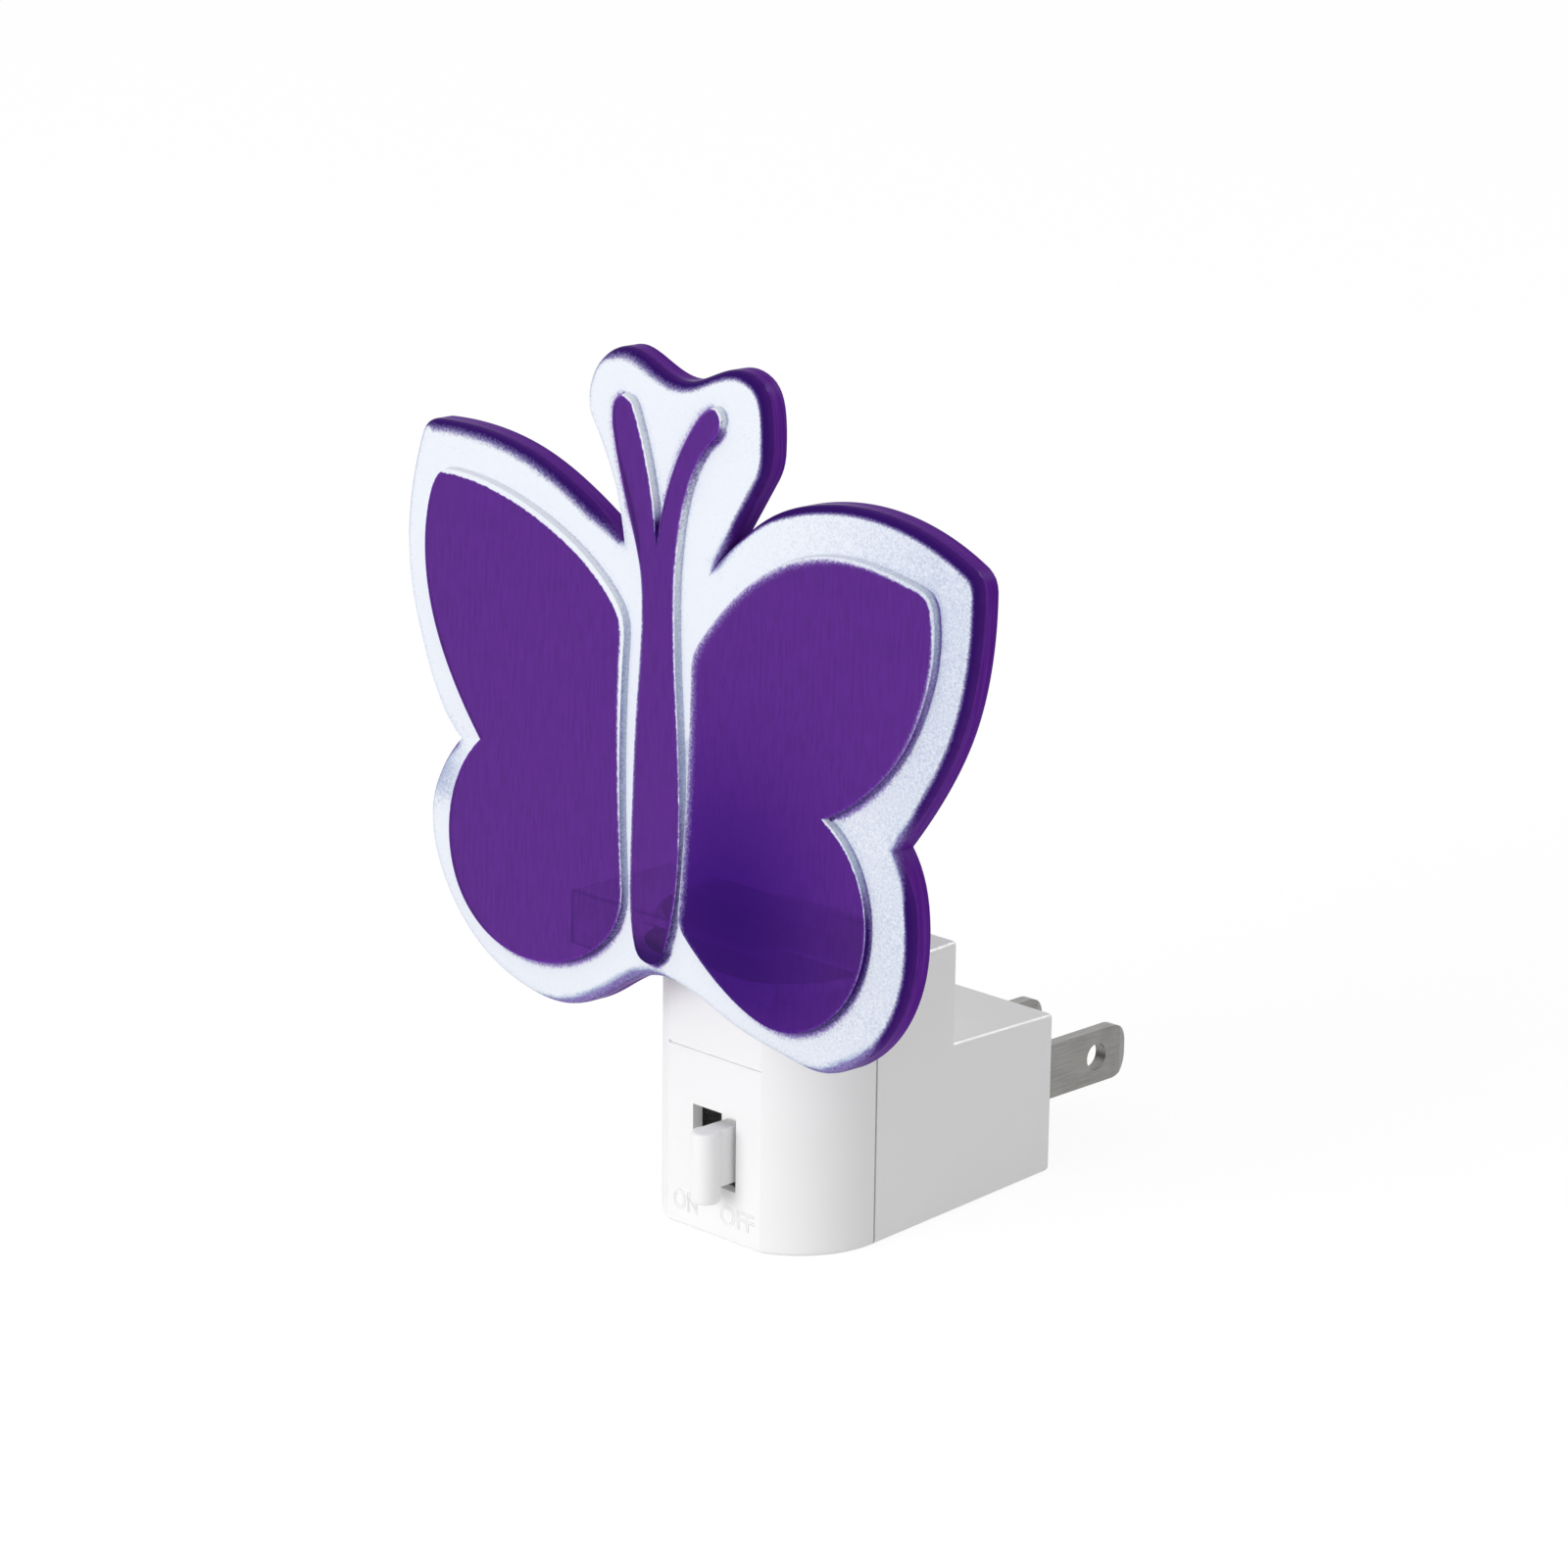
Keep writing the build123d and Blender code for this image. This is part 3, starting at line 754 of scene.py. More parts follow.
@dataclass
class Reading:
    """How points of the panel lie to its fields and its outer edge, and the rim's rounding beside them.

    Lengths are in millimetres, and heights are shares of the panel's own.
    """

    gap: np.ndarray
    field: np.ndarray
    facing: np.ndarray
    inset: np.ndarray
    edge_facing: np.ndarray
    rim: np.ndarray
    across: np.ndarray
    height: np.ndarray


def coat(mesh: bpy.types.Mesh, material: bpy.types.Material) -> None:
    """Gives a whole mesh one material."""
    mesh.materials.clear()
    mesh.materials.append(material)


def add_object(name: str, data: bpy.types.ID) -> bpy.types.Object:
    """Adds a new object to the scene.

    Args:
        name: its name.
        data: its mesh, lamp or camera.

    Returns:
        The object.
    """
    made = bpy.data.objects.new(name, data)
    bpy.context.scene.collection.objects.link(made)
    return made


def towards(facing: np.ndarray, across: float, up: float) -> np.ndarray:
    """Tells how far directions point one way: 1 along it, 0 square to it and beyond."""
    way = np.array((across, up)) / math.hypot(across, up)
    return np.clip(facing @ way, 0.0, 1.0)


@dataclass
class PaintWork:
    """Where the white paint lies at points of the panel's front, how the acrylic looks there, and where shade
    is painted on it.

    Lengths are in millimetres, turns in degrees from the right, and heights are shares of the panel's own.
    Values in threes are for the left wing, the body and the right wing.
    """

    at: Reading
    step_gaps: tuple[float, ...]
    rim_radius: float
    crisp_border: float = 0.2
    strips: tuple[float, float, float] = (0.7, 0.2, 0.45)
    mists: tuple[float, float, float] = (0.0, 0.15, 0.35)
    left_hazes: tuple[float, float, float] = (0.0, 0.6, 1.7)
    low_hazes: tuple[float, float, float] = (1.0, 0.6, 1.2)
    top_haze: float = 1.2
    bottom_haze: float = 0.6
    spray_shadow: float = 0.5
    antenna_shadow: float = 0.8
    antenna_haze: float = 1.2
    fork_across: float = -0.9
    fork_half: float = 1.7
    fork_heights: tuple[float, float] = (0.7, 0.795)
    bare_rim: float = 0.8
    painted_rim: float = -0.35
    bare_turns: tuple[float, ...] = (-180, -100, -70, -50, -35, 0, 110, 135, 158, 168, 180)
    bare_shares: tuple[float, ...] = (0.0, 0.1, 0.2, 0.45, 0.85, 1.0, 1.0, 0.6, 0.35, 0.05, 0.0)
    veil: float = 0.7
    veil_fade: float = 0.5
    veil_turns: tuple[float, ...] = (-108, -90, -62, -30)
    veil_widths: tuple[float, ...] = (0.0, 0.65, 1.2, 0.6)
    lobe_turns: tuple[float, ...] = (125, 145, 155, 180)
    lobe_height: float = 0.46
    lobe_width: float = 2.2
    lobe_veils: tuple[float, float] = (0.62, 0.35)
    tail_shade_heights: tuple[float, ...] = (0.118, 0.127, 0.146, 0.158)
    tail_shade_shares: tuple[float, ...] = (1.0, 0.8, 0.45, 0.0)
    # where the indigo painted shade lies in the right wing, and how far it clouds the acrylic
    shade_across: float = 11.0
    shade_width: float = 17.0
    shade_height: float = 0.22
    shade_rise: float = 0.26
    shade_cloudiness: float = 0.4

    def columns(self) -> dict[Paint, np.ndarray]:
        """Works out every attribute of the points.

        Returns:
            The points' values by attribute.
        """
        return {
            Paint.FIELD_GAP: self.field_gap(),
            Paint.SOFTNESS: self.softness(),
            Paint.EDGE_GAP: self.edge_gap(),
            Paint.COVERAGE_AND_SHADE: self.coverage(),
            Paint.SHADE_AND_SAWN_EDGE: self.deepness(),
            Paint.INDIGO_SHADE: self.indigo(),
            Paint.CLEARNESS: self.clearness(),
        }

    def by_height(self, heights: tuple[float, ...], shares: tuple[float, ...]) -> np.ndarray:
        """Gives each point a share by its height."""
        return np.interp(self.at.height, heights, shares)

    def by_turn(self, turns: tuple[float, ...], shares: tuple[float, ...]) -> np.ndarray:
        """Gives each point a share by the way that the outer edge faces beside it."""
        facing = np.degrees(np.arctan2(self.at.edge_facing[:, 1], self.at.edge_facing[:, 0]))
        return np.interp(facing, turns, shares)

    def step_faces(self, across: float, up: float) -> np.ndarray:
        """Tells how far the step beside each point faces one way."""
        return towards(self.at.facing, across, up)

    def edge_faces(self, across: float, up: float) -> np.ndarray:
        """Tells how far the outer edge beside each point faces one way."""
        return towards(self.at.edge_facing, across, up)

    def softness(self) -> np.ndarray:
        """Gives how wide the paint's soft border is beside each point.

        Returns:
            The border's widths.
        """
        left = np.choose(self.at.field, self.left_hazes) * self.step_faces(-1.0, 0.3)
        low = np.choose(self.at.field, self.low_hazes) * self.step_faces(0.3, -1.0)
        return self.crisp_border + left + low + self.antenna_haze * self.left_of_antenna()

    def field_gap(self) -> np.ndarray:
        """Gives the distance from the paint's inner border.

        The paint creeps onto the fields on their upper right, drifts onto the right wing from its left,
        and keeps off the floor in the spray's shadow below each field and on the left of the antennae.

        Returns:
            The distances, above zero where there is paint.
        """
        high = self.by_height((0.3, 0.55), (0.2, 1.0))
        creep = np.choose(self.at.field, self.strips) * high * np.sqrt(self.step_faces(0.8, 0.6))
        drift = np.choose(self.at.field, self.mists) * self.step_faces(-1.0, 0.3)
        below = self.spray_shadow * self.step_faces(0.0, -1.0)
        beside = self.antenna_shadow * self.left_of_antenna()
        return self.at.gap + creep + drift - below - beside

    def left_of_antenna(self) -> np.ndarray:
        """Tells the points on the left of an antenna, 1, from the rest, 0."""
        high = self.by_height((0.7, 0.76), (0.0, 1.0)) * (self.at.field == 1)
        return high * self.step_faces(-1.0, 0.0)

    def in_fork(self) -> np.ndarray:
        """Tells the points far down in the fork of the antennae, 1, from the rest, 0.

        The bare sliver runs up along the left antenna, and it takes the deep painted shade of the narrow
        fork.

        Returns:
            The shares.
        """
        low, high = self.fork_heights
        beside = (np.abs(self.at.across - self.fork_across) < self.fork_half) & (self.at.gap > -0.3)
        narrow = self.by_height((low + 0.05, low + 0.07), (1.0, 0.0))
        left = np.maximum(narrow, np.clip(3 * self.at.facing[:, 0], 0.0, 1.0))
        fade = self.by_height((low - 0.05, low - 0.03, high - 0.04, high), (0.0, 1.0, 1.0, 0.0))
        return beside * left * fade

    def bareness(self) -> np.ndarray:
        """Gives how bare the rim is: bare on the right and top, thinly painted below, painted on the left."""
        return self.by_turn(self.bare_turns, self.bare_shares)

    def edge_gap(self) -> np.ndarray:
        """Gives the distance from the paint's outer border, which is softest along the left wing's top.

        At notches that open to the right the spray reaches round the rim as a haze.

        Returns:
            The distances in widths of the soft border, above zero where there is paint.
        """
        reach = (self.bare_rim - self.painted_rim) * self.at.rim / self.rim_radius
        top = self.edge_faces(0.4, 1.0) * np.interp(self.at.across, (-5, 12), (1.0, 0.25))
        below = self.edge_faces(0.2, -1.0)
        softness = 1.5 * self.crisp_border + self.top_haze * top + self.bottom_haze * below
        border = self.painted_rim + reach * self.bareness() + 0.25 * top
        return (self.at.inset - border) / softness * (1.0 - self.notch_haze())

    def notch_haze(self) -> np.ndarray:
        """Gives how hazy the rim is near a notch that opens to the right: 0 where it is clean."""
        right = np.clip(2 * self.edge_faces(1.0, 0.0) - 1.0, 0.0, 1.0)
        return 0.9 * right * (1.0 - self.at.rim / self.rim_radius)

    def coverage(self) -> np.ndarray:
        """Gives how thickly the paint lies: thin on steps that face right, where its grey-blue also serves as
        painted shade, thin on the left rim, and greyer and bluer towards the far right.

        On a step that is high or faces up, it is thin only along the step's foot.

        Returns:
            The shares of paint, lower also where shade is painted.
        """
        low = self.by_height((0.15, 0.6), (1.0, 0.0))
        up = np.maximum(self.step_faces(0.0, 1.0), self.by_height((0.55, 0.75), (0.0, 0.8)))
        gaps = (*self.step_gaps, self.step_gaps[-1] + 0.2)
        beside = np.interp(self.at.gap, gaps, (0.0, 1.0, 0.85, 0.65, 0.0, 0.0))
        above = np.interp(self.at.gap, gaps, (0.0, 0.0, 0.2, 1.0, 0.3, 0.0))
        thin = beside + (above - beside) * up
        # painted shade on steps that face right, along with thinner paint there
        step = thin * self.step_faces(1.0, 0.0) * (0.58 + 0.2 * low)
        rim = np.interp(self.at.inset, (0.3, 1.4), (0.28, 0.0)) * self.edge_faces(-1.0, -0.4)
        # the white turns greyer and bluer towards the far right
        far = np.interp(self.at.across, (8.0, 38.0), (0.0, 0.3))
        return 1.0 - np.maximum.reduce((step + far, rim + far, self.lilac_veil(), self.in_fork()))

    def lilac_veil(self) -> np.ndarray:
        """Gives how far the paint thins to a lilac veil.

        It does so along the lower rim, where that rises to the right, and on the lower left lobe's top.

        Returns:
            The shares of paint that are missing.
        """
        lobe = self.by_turn(self.lobe_turns, (0.0, 1.0, 1.0, 0.0)) * (self.at.height < self.lobe_height)
        upper = np.interp(self.at.inset, (0.0, self.lobe_width), self.lobe_veils) * lobe
        width = self.by_turn(self.veil_turns, self.veil_widths)
        thinned = np.clip((width - self.at.inset) / self.veil_fade + 0.5, 0.0, 1.0)
        return np.maximum(upper, self.veil * thinned * np.clip(width / self.veil_fade, 0.0, 1.0))

    def deepness(self) -> np.ndarray:
        """Gives the deep painted shade on the rim's bare rounding, on steps that face right and down, at the
        body's tail and in the fork.

        Returns:
            Shares from 0, its own tint, to 1, the deep painted shade.
        """
        # painted shade: on the rim's bare rounding, on steps facing right and down (strongest low on the
        # panel), at the tail's tip and in the fork
        bend = np.interp(self.at.inset, (0.0, 0.35, 1.4, 1.8), (0.55, 1.0, 1.0, 0.0))
        on_step = np.interp(self.at.gap, self.step_gaps, (0.0, 1.0, 1.0, 1.0, 0.0))
        step = on_step * self.by_height((0.25, 0.6), (1.0, 0.5)) * self.step_faces(0.9, -0.44)
        dark = self.by_height(self.tail_shade_heights, self.tail_shade_shares)
        tail = dark * (self.at.field == 1) * (self.at.gap < 0)
        return np.maximum.reduce((bend * self.bareness(), step, tail, self.in_fork()))

    def indigo(self) -> np.ndarray:
        """Gives how far the acrylic takes the indigo painted shade: low in the right wing, and in the body's
        tail.

        Returns:
            Shares from 0, its own tint, to 1, the indigo painted shade.
        """
        across = (self.at.across - self.shade_across) / self.shade_width
        up = (self.at.height - self.shade_height) / self.shade_rise
        wing = np.exp(-(across**2) - up**2) * (self.at.field == 2)
        tail = self.by_height((0.122, 0.14), (0.75, 0.0)) * (self.at.field == 1)
        return np.maximum(wing, tail)

    def clearness(self) -> np.ndarray:
        """Gives how clear the acrylic is: clear in the raised fields, cloudier under the indigo painted
        shade.
        """
        raised = np.interp(self.at.gap, (-0.35, self.step_gaps[0]), (1.0, 0.0))
        return raised * (1.0 - self.shade_cloudiness * np.minimum(1.0, 1.8 * self.indigo()))


@dataclass
class ButterflyPanel:
    """The butterfly of purple acrylic: raised fields, a sunk white floor, a rounded rim and a sawn edge.

    Lengths are in millimetres.
    """

    plane: PanelPlane
    spacing: float = 0.7
    corner_turn: float = 0.35
    field_lines: tuple[float, ...] = (-0.7, -0.35)
    step_gaps: tuple[float, ...] = (-0.06, 0.02, 0.1, 0.18, 0.28)
    step_depths: tuple[float, ...] = (0.0, 0.06, 0.45, 0.84, 0.9)
    rim_radius: float = 1.0
    rim_turns: tuple[float, ...] = (72.0, 54.0, 36.0, 18.0, 0.0)
    rim_margin: float = 0.5
    notch_turn: float = 0.6
    notch_taper: float = 7.0
    notch_rim: float = 0.15
    tip_rounding: int = 2
    field_roundings: tuple[int, int, int] = (4, 4, 2)
    wall_start: float = 0.5
    wall_fade: float = 2.0
    back_round: float = 0.15
    glue: float = 0.02
    grid_spacing: float = 0.95
    field_clearance: float = 1.0
    step_clearance: float = 0.35
    rim_clearance: float = 0.4
    antenna_foot: float = 0.7
    antenna_rise: float = 1.1
    antenna_swell: float = 0.2
    tail_drop: float = 1.0
    tail_top: float = 0.3
    sharp_angle: float = 38.0

    def __post_init__(self) -> None:
        """Reads the outlines and spaces their points evenly."""
        edge = self.plane.outlines(self.plane.thickness)
        fields = sorted(self.plane.outlines(0.0), key=lambda loop: loop[:, 0].mean())
        self.edge = even_loop(edge[0], self.spacing, self.corner_turn, self.tip_rounding)
        self.notches = self.edge[turns_of(self.edge) < -self.notch_turn]
        self.fields = [
            even_loop(loop, self.spacing, self.corner_turn, rounding)
            for loop, rounding in zip(fields, self.field_roundings)
        ]
        self.fields[1] = self.drawn_out(self.fields[1])

    def height_of(self, points: np.ndarray) -> np.ndarray:
        """Gives the heights of points, as shares of the panel's own."""
        return (points[:, 1] - self.edge[:, 1].min()) / np.ptp(self.edge[:, 1])

    def drawn_out(self, loop: Loop) -> Loop:
        """Draws the body's antennae and tail out to their full length.

        Args:
            loop: the body's outline.

        Returns:
            The fuller outline.
        """
        height = self.height_of(loop)
        share = np.interp(height, (self.antenna_foot, height.max()), (0.0, 1.0))
        full = moved_loop(loop, self.antenna_swell * np.sqrt(share))
        full[:, 1] += self.antenna_rise * share
        full[:, 1] -= self.tail_drop * np.interp(height, (height.min(), self.tail_top), (1.0, 0.0))
        return full

    def measure(self, points: np.ndarray) -> Reading:
        """Measures points against the fields and the outer edge.

        Args:
            points: places across and up.

        Returns:
            The points' reading.
        """
        measured = [nearest_on_loop(points, loop) for loop in self.fields]
        gaps = np.array([gap for gap, _ in measured])
        field = gaps.argmin(axis=0)
        order = np.arange(len(points))
        facing = np.array([direction for _, direction in measured])[field, order]
        outside, edge_facing = nearest_on_loop(points, self.edge)
        rim = self.rim_beside(points)
        height = self.height_of(points)
        return Reading(gaps[field, order], field, facing, -outside, edge_facing, rim, points[:, 0], height)

    def rim_beside(self, points: np.ndarray) -> np.ndarray:
        """Gives the rim's rounding beside points: it tapers towards the notches."""
        away = np.linalg.norm(points[:, None] - self.notches[None], axis=2).min(axis=1)
        return self.rim_radius * np.clip(self.notch_rim + away / self.notch_taper, 0.0, 1.0)

    def depth(self, reading: Reading) -> np.ndarray:
        """Gives the front surface's depth behind the raised fields.

        Args:
            reading: the points' reading.

        Returns:
            The depths.
        """
        step = np.interp(reading.gap, self.step_gaps, self.step_depths)
        short = np.clip(reading.rim - reading.inset, 0.0, reading.rim)
        return step + reading.rim - np.sqrt(reading.rim**2 - short**2)

    def rim_loops(self) -> list[Loop]:
        """Gives the lines of the rounded rim inside the outer edge, and one more inside those.

        Returns:
            The loops, from the outermost to the innermost.
        """
        rim = self.rim_beside(self.edge)
        shares = [1 - math.sin(math.radians(turn)) for turn in self.rim_turns]
        inner = moved_loop(self.edge, -rim - self.rim_margin)
        return [*(moved_loop(self.edge, -rim * share) for share in shares), inner]

    def inner_points(self) -> np.ndarray:
        """Gives a staggered grid of points that keeps clear of the outlines.

        Returns:
            The points across and up.
        """
        low = self.edge.min(axis=0)
        high = self.edge.max(axis=0)
        rise = self.grid_spacing * math.sqrt(3) / 2
        rows = []
        for number, up in enumerate(np.arange(low[1], high[1], rise)):
            start = low[0] + (number % 2) * self.grid_spacing / 2
            across = np.arange(start, high[0], self.grid_spacing)
            rows.append(np.column_stack((across, np.full(len(across), up))))
        points = np.vstack(rows)
        reading = self.measure(points)
        outer = self.step_gaps[-1] + self.step_clearance
        near_step = (reading.gap > -self.field_clearance) & (reading.gap < outer)
        clear_of_rim = reading.inset > self.rim_radius + self.rim_margin + self.rim_clearance
        return points[clear_of_rim & ~near_step]

    def front_net(self) -> tuple[np.ndarray, list[list[int]], list[int]]:
        """Nets the front with triangles that follow every outline.

        Returns:
            The net's points, its triangles, and the points along the outer edge in order.
        """
        loops = [self.edge, *self.rim_loops()]
        for field in self.fields:
            gaps = (*self.field_lines, *self.step_gaps)
            loops += [moved_loop(field, np.full(len(field), gap)) for gap in gaps]
        points = np.vstack([*loops, self.inner_points()])
        borders = []
        start = 0
        for loop in loops:
            count = len(loop)
            borders += [(start + here, start + (here + 1) % count) for here in range(count)]
            start += count
        net = delaunay_2d_cdt([Vector(point) for point in points], borders, [], 1, 1e-4)
        kept = np.array([tuple(point) for point in net[0]])
        place_of = {old: new for new, olds in enumerate(net[3]) for old in olds}
        return kept, net[2], [place_of[number] for number in range(len(self.edge))]

    def add_wall(self, shape: bmesh.types.BMesh, rim: list[bmesh.types.BMVert], haze: np.ndarray) -> None:
        """Adds the sawn edge and the back behind the front's outer rim.

        Args:
            shape: the panel's mesh, with the front in it.
            rim: the front's outermost vertices, in order.
            haze: how hazy the rim is beside each.
        """
        layers = shape.verts.layers.float
        copied = [layers[name.value] for name in (Paint.FIELD_GAP, Paint.SOFTNESS, Paint.COVERAGE_AND_SHADE)]
        edge_gap = layers[Paint.EDGE_GAP.value]
        edge_depth = self.step_depths[-1] + self.rim_radius
        thickness = self.plane.thickness - self.glue
        wall = (
            (edge_depth + self.wall_start, 0.0, 0.0),
            (thickness - self.back_round, 0.0, 0.0),
            (thickness, -self.back_round, 0.0),
            (thickness, -4 * self.back_round, 1.0),
        )
        ring = rim
        for depth, move, clearness in wall:
            outline = moved_loop(self.edge, np.full(len(self.edge), move))
            fall = self.wall_fade * (1.0 - haze) * (edge_depth - depth)
            following = []
            for beside, point, lower in zip(rim, outline, fall):
                vertex = shape.verts.new(self.plane.place(point, depth))
                for layer in copied:
                    vertex[layer] = beside[layer]
                vertex[edge_gap] = beside[edge_gap] + lower
                # the sawn edge gets its own bright colour, -1, and no painted shade; the back gets 0
                vertex[layers[Paint.SHADE_AND_SAWN_EDGE.value]] = clearness - 1.0
                vertex[layers[Paint.CLEARNESS.value]] = clearness
                following.append(vertex)
            for here in range(len(ring)):
                after = (here + 1) % len(ring)
                shape.faces.new((ring[here], following[here], following[after], ring[after]))
            ring = following
        shape.faces.new(ring)

    def build(self) -> bpy.types.Object:
        """Builds the panel's mesh with its paint attributes.

        Returns:
            The panel.
        """
        points, triangles, rim = self.front_net()
        reading = self.measure(points)
        paint = PaintWork(reading, self.step_gaps, self.rim_radius)
        columns = paint.columns()
        shape = bmesh.new()
        layers = {name: shape.verts.layers.float.new(name.value) for name in Paint}
        front = []
        for number, depth in enumerate(self.depth(reading)):
            vertex = shape.verts.new(self.plane.place(points[number], depth))
            for name, column in columns.items():
                vertex[layers[name]] = column[number]
            front.append(vertex)
        for triangle in triangles:
            shape.faces.new([front[corner] for corner in triangle])
        self.add_wall(shape, [front[corner] for corner in rim], paint.notch_haze()[rim])
        bmesh.ops.recalc_face_normals(shape, faces=shape.faces)
        mesh = bpy.data.meshes.new("butterfly_acrylic")
        shape.to_mesh(mesh)
        shape.free()
        mesh.shade_smooth()
        mesh.set_sharp_from_angle(angle=math.radians(self.sharp_angle))
        return add_object("butterfly_acrylic", mesh)

    def dress(self, finish: Finish) -> bpy.types.Object:
        """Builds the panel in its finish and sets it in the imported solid's place.

        Args:
            finish: the painted acrylic.

        Returns:
            The panel.
        """
        panel = self.build()
        material = finish.material("painted_acrylic")
        coat(panel.data, material)
        coat(self.plane.node.data, material)
        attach(panel, Body.HOUSING.value)
        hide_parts(self.plane.node.name)
        return panel


@dataclass
class PanelFoot:
    """The acrylic block that the panel is glued to, and that the housing holds."""

    node: bpy.types.Object
    tint: Colour = (0.92, 0.84, 0.95)
    # colour of the painted shade lines along the block's edges
    edge_shade: Colour = (0.1, 0.03, 0.25)
    front_depth: float = 0.5

    def dress(self) -> None:
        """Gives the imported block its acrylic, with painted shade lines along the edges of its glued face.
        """
        points = np.array([tuple(vertex.co) for vertex in self.node.data.vertices]) / MM
        face = points[points[:, 1] < points[:, 1].min() + self.front_depth]
        low = tuple(face.min(axis=0))
        high = tuple(face.max(axis=0))
        finish = EdgeShadedAcrylic(tint=self.tint, edge_shade=self.edge_shade, low=low, high=high)
        coat(self.node.data, finish.material("edge_shaded_acrylic"))


@dataclass
class RaisedWord:
    """A word moulded in raised outline letters on the housing's front. Lengths are in millimetres."""

    text: str
    left: float
    rise: float
    width: float
    height: float
    line_radius: float = 0.11
    line_sides: int = 10

    def tree(self, material: bpy.types.Material) -> bpy.types.NodeTree:
        """Builds the nodes that bend a round bead along each letter's outline.

        Args:
            material: the letters' material.

        Returns:
            The node tree.
        """
        tree = bpy.data.node_groups.new(f"raised_{self.text}", "GeometryNodeTree")
        tree.interface.new_socket("Geometry", in_out="OUTPUT", socket_type="NodeSocketGeometry")
        for name in ("Width", "Height", "Line Radius"):
            tree.interface.new_socket(name, in_out="INPUT", socket_type="NodeSocketFloat")
        tree.interface.new_socket("Corner", in_out="INPUT", socket_type="NodeSocketVector")
        graph = NodeGraph(tree)
        sizes = graph.node("NodeGroupInput").outputs
        font = bpy.data.fonts.load("<builtin>", check_existing=True)
        letters = graph.node("GeometryNodeStringToCurves", font=font, String=self.text)
        instances = letters.outputs["Curve Instances"]
        loose = graph.node("GeometryNodeRealizeInstances", Geometry=instances).outputs[0]
        box = graph.node("GeometryNodeBoundBox", Geometry=loose, Use_Radius=False).outputs
        extent = graph.node("ShaderNodeVectorMath", operation="SUBTRACT")
        graph.feed(extent.inputs[0], box["Max"])
        graph.feed(extent.inputs[1], box["Min"])
        drawn = graph.node("ShaderNodeSeparateXYZ", Vector=extent.outputs["Vector"]).outputs
        wide = graph.math("DIVIDE", sizes["Width"], drawn["X"])
        high = graph.math("DIVIDE", sizes["Height"], drawn["Y"])
        scale = graph.node("ShaderNodeCombineXYZ", X=wide, Y=high, Z=1.0).outputs["Vector"]
        corner = graph.node("ShaderNodeVectorMath", operation="SCALE", Scale=-1.0)
        graph.feed(corner.inputs[0], box["Min"])
        shift = corner.outputs["Vector"]
        shifted = graph.node("GeometryNodeTransform", Geometry=loose, Translation=shift).outputs[0]
        fitted = graph.node("GeometryNodeTransform", Geometry=shifted, Scale=scale).outputs[0]
        radius = sizes["Line Radius"]
        bead = graph.node("GeometryNodeCurvePrimitiveCircle", Resolution=self.line_sides, Radius=radius)
        tube = graph.node("GeometryNodeCurveToMesh", Curve=fitted, Profile_Curve=bead.outputs[0]).outputs[0]
        upright = graph.node("GeometryNodeTransform", Geometry=tube, Rotation=(math.pi / 2, 0.0, 0.0))
        graph.feed(upright.inputs["Translation"], sizes["Corner"])
        real = graph.node("GeometryNodeRealizeInstances", Geometry=upright.outputs[0]).outputs[0]
        dressed = graph.node("GeometryNodeSetMaterial", Geometry=real, Material=material).outputs[0]
        graph.node("NodeGroupOutput", Geometry=dressed)
        return tree

    def build(self, base: Vector, material: bpy.types.Material) -> bpy.types.Object:
        """Builds the word and sets it on the housing.

        Args:
            base: the lower left front corner of the front cover's box, in metres.
            material: the housing's material.

        Returns:
            The word.
        """
        name = f"word_{self.text.lower()}"
        carrier = add_object(f"{name}_carrier", bpy.data.meshes.new(f"{name}_carrier"))
        tree = self.tree(material)
        modifier = carrier.modifiers.new("letters", "NODES")
        modifier.node_group = tree
        sizes = {
            "Width": self.width * MM,
            "Height": self.height * MM,
            "Line Radius": self.line_radius * MM,
            "Corner": (self.left * MM, base.y, base.z + self.rise * MM),
        }
        for item in tree.interface.items_tree:
            if item.item_type == "SOCKET" and item.in_out == "INPUT":
                modifier[item.identifier] = sizes[item.name]
        bpy.context.view_layer.update()
        evaluated = carrier.evaluated_get(bpy.context.evaluated_depsgraph_get())
        mesh = bpy.data.meshes.new_from_object(evaluated)
        mesh.name = name
        mesh.shade_smooth()
        word = add_object(name, mesh)
        bpy.data.objects.remove(carrier)
        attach(word, Body.HOUSING.value)
        return word


@dataclass
class SubAssembly:
    """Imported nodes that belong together, keep their solids' shapes and get the finishes of their slots."""

    frame: dict
    finishes: ClassVar[dict[str, Finish]] = {}

    def dress(self) -> dict[str, bpy.types.Material]:
        """Gives each node the finish of its slot.

        Returns:
            The materials by slot.
        """
        materials = {slot: finish.material(slot) for slot, finish in self.finishes.items()}
        for part in self.frame["record"]["subparts"]:
            slot = part["material_slot"]
            if slot in materials:
                coat(self.frame["nodes"][part["node"]].data, materials[slot])
                LOG.info("node %s in %s", part["node"], slot)
        return materials


class Housing(SubAssembly):
    """The two white covers, with the switch's words moulded on the front one."""

    finishes = {Slot.HOUSING.value: MouldedPlastic(colour=(0.89, 0.89, 0.89))}
    words = (
        RaisedWord("ON", left=-6.2, rise=1.9, width=3.7, height=2.2),
        RaisedWord("OFF", left=1.0, rise=2.0, width=5.1, height=2.1),
    )

    def mould_words(self, material: bpy.types.Material) -> list[bpy.types.Object]:
        """Moulds the words on the front cover, in the housing's material."""
        base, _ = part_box("front_cover")
        return [word.build(base, material) for word in self.words]


